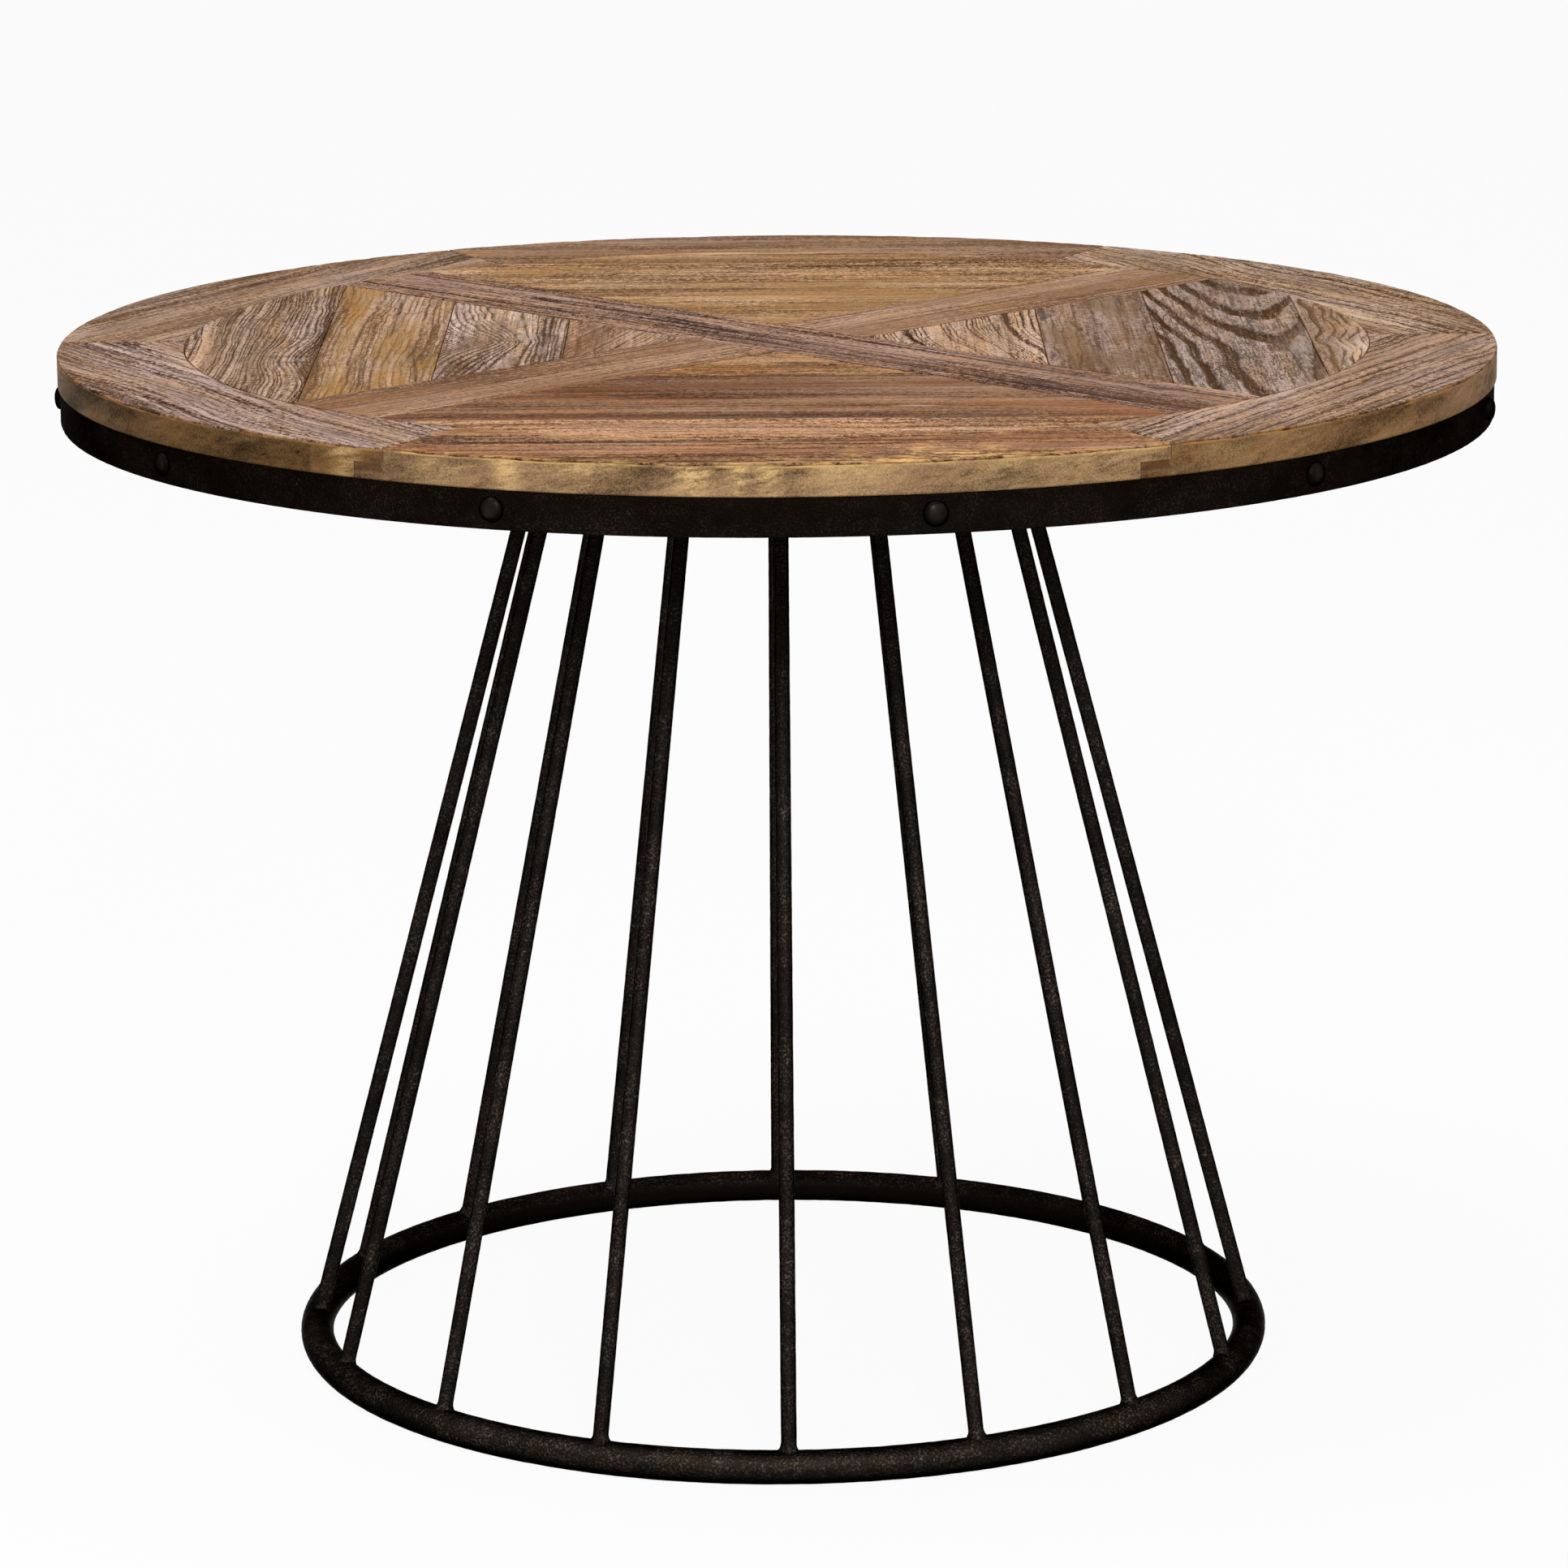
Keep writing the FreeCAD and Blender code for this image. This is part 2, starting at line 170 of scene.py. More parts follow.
def sheet_quads(sheet):
    """Quads over a 2-D array of point numbers, facing the product of its first and second directions."""
    return np.stack([sheet[:-1, :-1], sheet[1:, :-1], sheet[1:, 1:], sheet[:-1, 1:]], -1).reshape(-1, 4)


def block_skin(count_u, count_v, count_w):
    """Skin of a block of lattice points: which points are on it, the quads over its top and four sides
    (the first v side last) and its bottom as one outline. They face outwards if u, v, w are right-handed."""
    on_skin = np.zeros((count_u, count_v, count_w), bool)
    on_skin[[0, -1]] = True
    on_skin[:, [0, -1]] = True
    on_skin[:, :, -1] = True
    numbers = np.full(on_skin.shape, -1)
    numbers[on_skin] = np.arange(on_skin.sum())
    sides = [numbers[:, :, -1], numbers[-1], numbers[0].T, numbers[:, -1].T, numbers[:, 0]]
    quads = [sheet_quads(side) for side in sides]
    floor = numbers[:, :, 0]
    outline = np.concatenate([floor[0], floor[1:, -1], floor[-1, -2::-1], floor[-2:0:-1, 0]])
    return on_skin, quads, outline


def tube_skin(count_round, count_along, joined):
    """Quads of a tube of rings of points, each closed on itself, and its two end rings as outlines, or none
    if its last ring is joined to its first. They face outwards if the rings are right-handed about it."""
    numbers = np.arange(count_round * count_along).reshape(count_along, count_round)
    wrapped = np.concatenate([numbers, numbers[:, :1]], 1)
    if joined:
        wrapped = np.concatenate([wrapped, wrapped[:1]])
    ends = [] if joined else [numbers[0, ::-1], numbers[-1]]
    return sheet_quads(wrapped.T), ends


# Finishes

WHITE = (1.0, 1.0, 1.0, 1.0)
WARM_TINT = (1.06, 0.93, 0.70, 1.0)
BARE_HOLLOW = (0.52, 0.42, 0.34, 1.0)
DARK_EDGE = (0.10, 0.085, 0.07, 1.0)
BARE_STEEL_AND_GLINT = (176, 162, 148)
RIM_SLANT = math.radians(10)
WOOD_GLOSS = 0.04


def colour(red, green, blue):
    """Linear colour of an 8-bit screen colour."""
    screen = np.array([red, green, blue]) / 255
    linear = np.where(screen <= 0.04045, screen / 12.92, ((screen + 0.055) / 1.055) ** 2.4)
    return (*linear.tolist(), 1.0)


class Wire:
    """Output of a node that is added and multiplied like a number, with a new node each time."""

    def __init__(self, finish, socket):
        self.finish = finish
        self.socket = socket

    def __add__(self, other):
        return self.finish.math("ADD", self, other)

    def __sub__(self, other):
        return self.finish.math("SUBTRACT", self, other)

    def __mul__(self, other):
        return self.finish.math("MULTIPLY", self, other)


class Finish:
    """A material, or a world, whose node tree is built in small steps. Each step returns a wire."""

    def __init__(self, name, store=bpy.data.materials, shader="Principled BSDF"):
        self.owner = store.new(name)
        self.owner.use_nodes = True
        self.tree = self.owner.node_tree
        self.shader = self.tree.nodes[shader]

    def feed(self, node, inputs):
        for key, value in inputs.items():
            if isinstance(value, Wire):
                self.tree.links.new(value.socket, node.inputs[key])
            else:
                node.inputs[key].default_value = value

    def node(self, kind, inputs=(), output=0, **settings):
        made = self.tree.nodes.new("ShaderNode" + kind)
        for key, value in settings.items():
            setattr(made, key, value)
        self.feed(made, dict(inputs))
        return Wire(self, made.outputs[output])

    def shade(self, inputs):
        self.feed(self.shader, inputs)

    def attribute(self, name, output="Fac"):
        return self.node("Attribute", output=output, attribute_name=name)

    def place(self):
        return self.node("TexCoord", output="Object")

    def parts(self, vector):
        return [self.node("SeparateXYZ", {0: vector}, index) for index in range(3)]

    def math(self, operation, *values):
        return self.node("Math", enumerate(values), operation=operation)

    def most(self, first, *others):
        for other in others:
            first = self.math("MAXIMUM", first, other)
        return first

    def limit(self, value, low, high):
        return self.node("Clamp", {0: value, 1: low, 2: high})

    def rise(self, value, low, high, start=0.0, end=1.0):
        inputs = enumerate((value, low, high, start, end))
        return self.node("MapRange", inputs, interpolation_type="SMOOTHSTEP")

    def noise(self, vector, scale, detail, roughness):
        stretched = self.node("VectorMath", {0: vector, 1: scale}, operation="MULTIPLY")
        inputs = {"Vector": stretched, "Scale": 1.0, "Detail": detail, "Roughness": roughness}
        return self.node("TexNoise", inputs, "Fac")

    def hair(self, vector, scale, width, detail=2.0):
        """Thin wandering lines: where a stretched noise passes through its middle value."""
        away = self.math("ABSOLUTE", self.noise(vector, scale, detail, 0.5) - 0.5)
        return self.rise(away, 0.0, width, 1.0, 0.0)

    def mix(self, share, first, second, blend="MIX", clamp=True):
        """Blend of two colours, each a wire, a linear colour of four numbers or a screen colour of three."""
        inputs = {0: share}
        for key, value in ((6, first), (7, second)):
            on_screen = isinstance(value, tuple) and len(value) == 3
            inputs[key] = colour(*value) if on_screen else value
        return self.node("Mix", inputs, 2, data_type="RGBA", blend_type=blend, clamp_factor=clamp)

    def bump(self, height, distance, strength=1.0):
        inputs = {"Height": height, "Distance": distance, "Strength": strength}
        self.shade({"Normal": self.node("Bump", inputs)})

    def seen(self):
        """1 for rays that show the thing itself, and 0 for those that bring its light to others."""
        kinds = ("Camera", "Glossy", "Transmission")
        return self.most(*[self.node("LightPath", output="Is %s Ray" % kind) for kind in kinds])


def wood_finish(name, look):
    """Old wood: ring ridges, fibres and streaks move the colour between hollow and ridge, then come stains,
    short cracks, long checks, knots and chips, dirt and painted shade in the seams, and pale wear on the
    edges."""
    finish = Finish(name)
    rise, mix = finish.rise, finish.mix
    grain = finish.attribute("grain", "Vector")
    edge = finish.attribute("edge")
    dark, chip, grey = finish.parts(finish.attribute("marks", "Vector"))

    def noise(along, across, detail, roughness):
        return finish.noise(grain, (along, across, across), detail, roughness)

    fibre = noise(14, 800, 4.0, 0.65)
    line = noise(9, 240, 3.0, 0.7)
    speck = noise(300, 300, 3.0, 0.85)
    streak = noise(3.0, 60, 6.0, 0.68)
    broad = noise(2.2, 13, 2.0, 0.5)
    ring = finish.attribute("ring") + (fibre - 0.5) * look.ragged
    ring_tone = finish.node("TexNoise", {"W": ring, "Scale": 0.37}, "Fac", noise_dimensions="1D")

    phase = finish.math("FRACT", ring)
    rise_low, rise_high, fall = look.profile
    plateau = rise(phase, rise_low, rise_high) * rise(phase, 1.0 - fall, 1.0, 1.0, 0.0)
    level = (plateau - look.ring_share) * look.ring
    for source, gain in ((fibre, look.fibre), (line, look.line), (speck, look.speck), (streak, look.streak),
                         (broad, look.broad), (ring_tone, look.ring_tone)):
        level = level + (source - 0.5) * gain
    level = finish.limit(level * look.contrast + 0.5, -0.15, 1.4)

    tone = mix(level, look.hollow, look.ridge, clamp=False)
    stain = rise(noise(*look.stain_scale, 4.0, 0.6), 0.46, 0.62)
    tone = mix(stain * look.stain_mix, tone, look.stain)
    warm = rise(noise(6, 44, 4.0, 0.65), 0.4, 0.64, 0.0, look.warm)
    tone = mix(warm, tone, WARM_TINT, "MULTIPLY")
    vein = rise(finish.math("ABSOLUTE", phase - 0.5), 0.5 - look.vein_width, 0.485)
    broken = rise(noise(12, 130, 3.0, 0.6), 0.34, 0.56)
    tone = mix(vein * broken * look.vein, tone, look.dirt)
    here = rise(finish.noise(finish.place(), (11, 11, 11), 2.0, 0.5), 0.38, 0.58)
    along, across = look.crack_scale
    crack = finish.hair(grain, (along, across, across), 0.045) * look.crack * here * plateau
    check = finish.hair(grain, (1.4, 46, 46), 0.022, 3.0) * look.check * rise(streak, 0.36, 0.56, 1.0, 0.25)
    along, across, low, soft = look.pore_kind
    pore = rise(noise(along, across, 2.0, 0.6), low, low + soft, 0.0, look.pore)
    split = finish.most(crack, check, pore)
    tone = mix(split, tone, look.dirt)
    tone = mix(grey * rise(line, 0.36, 0.6, 0.15, 1.0), tone, look.grey)
    tone = mix(dark, tone, look.knot)
    pale = rise(edge, 0.0, look.wear_width, 1.0, 0.0) * rise(noise(45, 150, 4.0, 0.65), 0.5, 0.6)
    torn = rise(noise(70, 170, 4.0, 0.7), 0.46, 0.58)
    bare = mix(rise(noise(20, 420, 4.0, 0.7), 0.34, 0.6), BARE_HOLLOW, WHITE)
    bare = mix(1.0, look.worn, bare, "MULTIPLY")
    tone = mix(finish.most(pale * look.wear, chip * torn), tone, bare)
    # dirt and painted shade in the seams: the colour darkens over the last millimetre to a board's edge
    tone = mix(1.0, tone, rise(edge, 0.0, 0.001, look.seam, 1.0), "MULTIPLY")

    finish.bump(fibre * 0.6 + plateau * look.ring_bump - split, 0.0006, look.bump)
    rough = rise(level, 0.0, 1.0, look.rough + 0.12, look.rough)
    finish.shade({"Base Color": tone, "Roughness": rough, "Specular IOR Level": WOOD_GLOSS})
    return finish.owner


def rim_finish(name, look):
    """Planed outer edge of a border board: olive brown in clouds and fine slanting streaks, with ragged
    painted highlights, stronger higher up, a thin worn line along the upper corner, the darker end of a lap
    and a painted shadow along its foot."""
    finish = Finish(name)
    noise, rise, mix = finish.noise, finish.rise, finish.mix
    place = finish.attribute("grain", "Vector")
    height = finish.parts(place)[2]
    painted_gleam, lap, shift = finish.parts(finish.attribute("rim", "Vector"))
    slant = finish.node("VectorRotate", {"Vector": place, "Angle": RIM_SLANT}, rotation_type="Y_AXIS")
    cloud = noise(slant, (12, 12, 40), 4.0, 0.6)
    streak = noise(slant, (90, 90, 280), 4.0, 0.65)
    fine = noise(slant, (800, 800, 900), 2.0, 0.7)
    level = shift + 0.5
    for source, gain in ((cloud, 2.6), (streak, 1.2), (fine, 2.0)):
        level = level + (source - 0.5) * gain
    level = finish.limit(level, -0.1, 1.6)
    tone = mix(level, look.rim_dark, look.rim_light, clamp=False)
    # painted highlights: random patches and the listed gleams lighten the rim, stronger higher up
    patch = rise(noise(slant, (9, 9, 40), 4.0, 0.65), 0.55, 0.68, 0.0, look.rim_patch)
    ragged = rise(noise(slant, (34, 34, 150), 5.0, 0.75), 0.4, 0.6, 0.15, 1.0)
    upper = rise(height, WOOD_Z + 0.003, TOP_Z - 0.004, 0.65, 1.2)
    painted_gleam = finish.most(patch, painted_gleam) * ragged * rise(fine, 0.35, 0.6, 0.7, 1.2) * upper
    tone = mix(painted_gleam, tone, look.rim_bright)
    tone = mix(lap * rise(height, WOOD_Z + 0.004, WOOD_Z + 0.007, 0.35, 1.0), tone, look.rim_lap)
    # painted shadow: the rim darkens over its lowest 1.4 mm, just above the band
    tone = mix(1.0, tone, rise(height, WOOD_Z, WOOD_Z + 0.0014, 0.45, 1.0), "MULTIPLY")
    worn = rise(height, TOP_Z - 0.0040, TOP_Z - 0.0022)
    here = rise(noise(place, (26, 26, 26), 4.0, 0.7), 0.4, 0.6, 0.15, 1.0)
    tone = mix(worn * here, tone, look.rim_worn)
    finish.bump(streak + fine, 0.0004, 0.35)
    rough = rise(level, 0.0, 1.0, 0.66, 0.5)
    finish.shade({"Base Color": tone, "Roughness": rough, "Specular IOR Level": WOOD_GLOSS})
    return finish.owner


def steel_finish(name, base, rubbed_and_sheen, crown, dimple, grit, rough, depth):
    """Black paint over hammered or pebbled steel: near black, greyer in patches, with the highest
    crowns of its pebbles paler and a few bare specks. Where these go follows an attribute of each piece:
    partly rubbed paint, partly painted sheen and glints."""
    finish = Finish(name)
    rise, mix = finish.rise, finish.mix
    place = finish.place()
    pebble = finish.noise(place, (dimple,) * 3, 2.0, 0.55)
    fine = finish.noise(place, (2.2 * dimple,) * 3, 2.0, 0.6)
    patch = finish.noise(place, (12, 12, 22), 4.0, 0.7)
    spot = finish.noise(place, (45, 45, 45), 3.0, 0.6)
    # painted sheen: the attribute read here makes the steel greyer where light falls on each piece, as well
    # as where it is rubbed
    worn = finish.attribute("rub_and_sheen") * rise(patch, 0.36, 0.64, 0.45, 1.0)
    tone = mix(worn, base, rubbed_and_sheen)
    # painted glints: pale crowns and bare specks sit where that attribute is high, partly worn paint and
    # partly sparkle
    high = rise(pebble, 0.46, 0.78) * rise(spot, 0.34, 0.66, 0.2, 1.0)
    tone = mix(high * worn, tone, crown)
    bare = rise(fine, 0.66, 0.76) * rise(spot, 0.45, 0.65, 0.0, grit)
    tone = mix(bare * worn, tone, BARE_STEEL_AND_GLINT)
    finish.bump(pebble + fine * 0.3, depth)
    rough = rise(patch, 0.3, 0.7, rough, rough + 0.15)
    finish.shade({"Metallic": 1.0, "Specular Tint": DARK_EDGE, "Base Color": tone, "Roughness": rough})
    return finish.owner


def plywood_finish():
    """Plywood under the top: pale straight veneer with soft figure, bare and a little dusty."""
    finish = Finish("plywood_veneer")
    place = finish.place()
    figure = finish.noise(place, (2.5, 34, 34), 4.0, 0.6)
    fibre = finish.noise(place, (30, 600, 600), 3.0, 0.6)
    cloud = finish.noise(place, (5, 5, 5), 3.0, 0.5)
    tone = finish.mix(finish.rise(fibre * 0.5 + figure * 0.7, 0.4, 0.8), (150, 116, 78), (190, 156, 112))
    tone = finish.mix(cloud * 0.5, tone, (128, 98, 68))
    finish.bump(fibre, 0.0003, 0.4)
    finish.shade({"Base Color": tone, "Roughness": 0.8})
    return finish.owner


def screw_finish():
    """Zinc-plated screws: bright grey, dulled in fine spots."""
    finish = Finish("zinc_screw")
    dull = finish.noise(finish.place(), (300, 300, 300), 3.0, 0.6)
    tone = finish.mix(dull, (170, 166, 156), (120, 116, 108))
    rough = finish.rise(dull, 0.3, 0.7, 0.3, 0.5)
    finish.shade({"Base Color": tone, "Metallic": 1.0, "Roughness": rough})
    return finish.owner


# Boards

PLAIN = dict(
    spacing=0.007, sway=0.002, sway_length=0.5, uneven=0.3, arch=None, fans=(), knots=(), marks=(),
    splits=(), profile=(0.02, 0.45, 0.1), ring_share=0.62, ring=0.5, ring_tone=1.2, ring_bump=0.5,
    ragged=0.35, contrast=1.25, fibre=1.8, line=1.6, speck=4.5, streak=2.0, broad=2.4, stain_mix=0.55,
    stain_scale=(3, 16), warm=0.8, vein=0.6, vein_width=0.13, pore=0.45, pore_kind=(45, 330, 0.58, 0.12),
    bends=(), chevrons=(), crack=0.5, crack_scale=(16, 220), check=0.45, relief=0.0003, drop=0.0,
    wave=0.0002, cell=(0.003, 0.0015), bump=0.5, rough=0.68, wear=0.35, wear_width=0.004, seam=0.62,
    ridge=(170, 140, 118), hollow=(115, 88, 70), stain=(140, 108, 82), dirt=(76, 56, 42),
    grey=(176, 158, 146), knot=(74, 53, 39), worn=(205, 150, 84), rim_dark=(62, 46, 29),
    rim_light=(132, 101, 62), rim_bright=(246, 204, 142), rim_lap=(92, 62, 38), rim_worn=(196, 142, 78),
    rim_patch=0.3, rim_step=(1.0, 0.0), gleams=(), chips=(), corner=0.7,
)

# arch: middle, span on both sides, pitch, start of its tail. bends: along, across, reach both ways, push.
# fans: start, end, slope, bow. chevrons: tip, reach, depth, start, end. knots: along, across, reach, half
# width, push. splits: start, end, across at both, half width, depth. marks: kind, along, across, half length,
# half width, share. gleams, the painted highlights on the rim: along, half length, share. chips:
# along, half length, reach, share.
# A cell is the spacing of grid lines along and across the grain.
FINE = (0.002, 0.0009)
FINER = (0.0018, 0.0008)
FAR_FIELD = dict(stain_mix=0.6, stain_scale=(7, 12), spacing=0.016, ring=0.3, check=0.35)
NEAR_FIELD = dict(contrast=0.84, ring=0.3, vein=0.3, line=1.0, fibre=1.2, speck=3.6, broad=3.2)

LOOKS = {
    "border_far_right": dict(
        contrast=1.55, ridge=(192, 164, 142), hollow=(96, 72, 54), stain=(122, 94, 72), spacing=0.010,
        sway=0.005, sway_length=0.16, check=0.8, knots=((-0.05, 0.49, 0.05, 0.02, 0.01),)),
    "border_far": dict(
        contrast=1.6, ridge=(158, 127, 104), hollow=(106, 76, 54), stain=(124, 94, 70), spacing=0.012,
        ring=0.4, marks=(("grey", 0.05, 0.50, 0.12, 0.006, 0.35),)),
    "border_far_left": dict(
        contrast=1.5, ridge=(170, 143, 124), hollow=(102, 77, 60), stain=(130, 100, 78), spacing=0.011,
        ring=0.35, check=0.6, splits=((-0.17, 0.20, 0.495, 0.493, 0.001, 0.0012),
        (-0.05, 0.23, 0.466, 0.47, 0.0009, 0.0008)), drop=0.0002),
    # Rim colours of the near boards: lighter on the front board, which faces the front lamp, and darker on
    # the sides, partly the wood's own colour and partly painted light and shade.
    "border_near_left": dict(
        contrast=1.5, ridge=(184, 158, 147), hollow=(80, 57, 44), stain=(140, 112, 94), spacing=0.0075,
        ring=0.35, sway=0.004, sway_length=0.22, check=0.7, drop=0.0004, rim_dark=(54, 39, 23),
        rim_light=(134, 99, 60), rim_step=(0.212, 0.5), gleams=((0.238, 0.010, 0.7),), rim_patch=0.15,
        worn=(188, 128, 70), splits=((-0.27, 0.0, 0.454, 0.466, 0.0013, 0.0012),
        (-0.26, -0.08, 0.416, 0.433, 0.001, 0.001)), marks=(("dark", -0.164, 0.454, 0.02, 0.004, 0.5),
        ("dark", -0.067, 0.451, 0.012, 0.003, 0.5))),
    "border_near": dict(
        ridge=(173, 132, 102), hollow=(86, 58, 41), stain=(146, 96, 66), spacing=0.013, check=0.8, wear=0.6,
        wear_width=0.012, worn=(236, 190, 124), rim_dark=(98, 75, 53), rim_light=(186, 147, 108), corner=1.0,
        rim_patch=0.5, chips=((0.11, 0.11, 0.06, 1.0), (-0.03, 0.06, 0.02, 0.7), (-0.15, 0.05, 0.01, 0.6)),
        rim_worn=(236, 192, 122), gleams=((-0.181, 0.010, 1.0), (-0.135, 0.026, 0.6), (-0.057, 0.013, 1.2),
        (-0.026, 0.009, 1.0), (-0.006, 0.012, 0.8), (0.045, 0.035, 0.5), (0.15, 0.03, 0.35),
        (0.22, 0.05, 0.4)), marks=(("chip", 0.138, 0.421, 0.03, 0.003, 0.9),
        ("chip", -0.14, 0.5, 0.05, 0.003, 0.5)), splits=((-0.2, 0.15, 0.447, 0.446, 0.0016, 0.0006),
        (-0.05, 0.22, 0.475, 0.474, 0.0018, 0.0006))),
    "border_near_right": dict(
        contrast=1.5, ridge=(184, 154, 136), hollow=(96, 72, 58), stain=(142, 114, 96), spacing=0.0105,
        profile=(0.02, 0.36, 0.08), relief=0.0004, sway=0.0015, check=0.5, rim_dark=(98, 71, 43),
        rim_light=(178, 136, 92), rim_patch=0.2),
    "brace_through": dict(
        contrast=1.45, ridge=(170, 137, 120), hollow=(82, 59, 48), stain=(116, 88, 76), stain_mix=0.4,
        spacing=0.0075, sway=0.003, ring=0.8, uneven=0.8, profile=(0.02, 0.4, 0.08), relief=0.0005,
        streak=2.6, broad=1.8, line=2.2, check=0.9, dirt=(48, 34, 28),
        knots=((0.365, 0.022, 0.04, 0.012, 0.008),), marks=(("dark", 0.365, 0.022, 0.014, 0.006, 0.8),),
        splits=((0.12, 0.36, -0.006, -0.004, 0.0014, 0.001), (-0.36, -0.08, 0.008, 0.012, 0.0014, 0.001),
        (-0.2, 0.2, -0.022, -0.018, 0.0012, 0.001))),
    "brace_far_right": dict(
        contrast=1.15, ridge=(186, 152, 128), hollow=(124, 92, 70), stain=(156, 120, 92), spacing=0.0075,
        ring=0.6, check=0.5, marks=(("dark", 0.34, -0.02, 0.01, 0.005, 0.5),)),
    "brace_near_left": dict(
        ridge=(178, 142, 116), hollow=(108, 78, 58), stain=(146, 110, 84), spacing=0.0075, ring=0.45,
        worn=(178, 112, 52), marks=(("chip", 0.2, 0.0445, 0.12, 0.0022, 0.9),)),
    "left_plank_1": dict(
        contrast=1.05, ridge=(182, 150, 128), hollow=(110, 82, 62), stain=(138, 104, 78), spacing=0.0045,
        relief=0.0004, cell=FINE, sway_length=0.2, fans=((-0.16, -0.05, -0.3, 0.0),)),
    "left_plank_2": dict(
        contrast=1.0, ridge=(200, 172, 156), hollow=(98, 76, 62), stain=(138, 110, 88), spacing=0.0036,
        ring=0.75, relief=0.0005, profile=(0.05, 0.45, 0.3), sway=0.0012, cell=FINER, vein=0.75,
        vein_width=0.17, chevrons=((-0.015, 0.05, 0.042, -0.25, -0.165),), stain_scale=(8, 16),
        marks=(("grey", 0.012, -0.188, 0.018, 0.007, 0.7), ("grey", -0.05, -0.176, 0.02, 0.006, 0.5),
        ("dark", 0.016, -0.169, 0.006, 0.006, 0.7), ("grey", 0.08, -0.19, 0.02, 0.006, 0.5),
        ("dark", -0.012, -0.196, 0.004, 0.01, 0.5))),
    "left_plank_3": dict(
        contrast=1.1, ridge=(188, 156, 132), hollow=(122, 92, 66), stain=(168, 126, 70), stain_mix=0.75,
        stain_scale=(4, 30), spacing=0.0055, relief=0.0004, cell=FINE, sway=0.003, sway_length=0.2, vein=0.5,
        splits=((0.0, 0.21, -0.289, -0.288, 0.0012, 0.0016), (-0.2, -0.06, -0.258, -0.268, 0.0012, 0.001)),
        marks=(("grey", -0.09, -0.275, 0.02, 0.008, 0.5), ("grey", -0.13, -0.285, 0.016, 0.012, 0.4),
        ("dark", -0.08, -0.262, 0.02, 0.003, 0.6))),
    "left_plank_4": dict(
        contrast=1.5, ridge=(188, 159, 140), hollow=(100, 75, 58), stain=(136, 106, 76), spacing=0.0046,
        sway=0.0035, sway_length=0.3, ring=0.55, relief=0.0008, profile=(0.04, 0.4, 0.1), cell=FINER,
        bump=0.7, vein=0.8, vein_width=0.16, uneven=0.6, bends=((0.01, -0.35, 0.06, 0.035, 0.009),
        (-0.1, -0.36, 0.05, 0.03, -0.005)), marks=(("grey", -0.085, -0.352, 0.008, 0.012, 0.6),
        ("dark", -0.075, -0.358, 0.004, 0.018, 0.6), ("dark", -0.1, -0.352, 0.003, 0.02, 0.6),
        ("grey", 0.05, -0.356, 0.012, 0.02, 0.35), ("dark", 0.1, -0.405, 0.004, 0.014, 0.6))),
    "right_plank_1": dict(
        contrast=1.35, ridge=(196, 164, 141), hollow=(88, 64, 48), stain=(160, 124, 96), stain_mix=0.3,
        spacing=0.0062, crack=0.2, check=0.1, pore=0.3, ragged=0.2, dirt=(86, 62, 46), sway=0.001,
        sway_length=0.2, ring=0.9, relief=0.0009, profile=(0.04, 0.34, 0.1), cell=FINE, streak=1.7,
        broad=1.4, uneven=0.7, fans=((0.05, 0.2, 0.14, 0.8),), bends=((-0.06, 0.16, 0.06, 0.03, 0.006),)),
    "right_plank_2": dict(
        ridge=(166, 140, 126), hollow=(106, 80, 62), stain=(124, 94, 66), stain_mix=0.7, stain_scale=(6, 22),
        spacing=0.012, ring=0.2, relief=0.0001, check=0.3, crack=0.2,
        marks=(("dark", 0.10, 0.202, 0.05, 0.003, 0.7), ("dark", -0.09, 0.202, 0.02, 0.003, 0.6))),
    "right_plank_3": dict(
        contrast=1.0, ridge=(178, 154, 142), hollow=(94, 70, 52), stain=(136, 112, 94), stain_mix=0.5,
        arch=(0.370, 0.00232, 0.00096, 0.115, -0.04), ring=1.0, relief=0.0019, profile=(0.2, 0.44, 0.05),
        ragged=0.1, ring_tone=0.0, cell=FINER, crack=1.0, check=0.0, bump=0.8, streak=1.8, broad=1.2,
        crack_scale=(30, 260), pore=0.6, pore_kind=(30, 420, 0.555, 0.05), dirt=(66, 49, 38),
        splits=((-0.22, 0.02, 0.378, 0.376, 0.0009, 0.0014), (0.12, 0.21, 0.352, 0.352, 0.0009, 0.0014)),
        marks=(("grey", -0.055, 0.384, 0.022, 0.006, 0.7), ("grey", -0.11, 0.385, 0.03, 0.003, 0.6))),
    "right_plank_4": dict(
        ridge=(194, 166, 148), hollow=(98, 72, 52), stain=(138, 106, 76), spacing=0.009, sway=0.0025,
        streak=2.8, sway_length=0.09, ring=0.85, relief=0.0012, profile=(0.06, 0.45, 0.12), cell=FINER,
        crack=0.8),
    "near_plank_1": dict(
        contrast=1.4, ridge=(173, 136, 102), hollow=(79, 53, 34), stain=(152, 106, 62), spacing=0.012,
        wear=0.9, wear_width=0.02, worn=(212, 162, 100), marks=(("dark", 0.015, -0.118, 0.016, 0.006, 0.7),
        ("chip", 0.0, -0.158, 0.09, 0.004, 0.8))),
    "near_plank_2": NEAR_FIELD | dict(
        ridge=(156, 122, 100), hollow=(84, 52, 32), stain=(118, 76, 48), stain_mix=0.6, spacing=0.012,
        wear=0.5, wear_width=0.008, worn=(188, 130, 74)),
    "near_plank_3": NEAR_FIELD | dict(
        ridge=(168, 130, 102), hollow=(90, 60, 44), stain=(150, 92, 56), spacing=0.013, grey=(214, 194, 176),
        marks=(("grey", 0.105, -0.307, 0.024, 0.0032, 0.9), ("dark", 0.0, -0.349, 0.24, 0.005, 0.5))),
    "near_plank_4": dict(
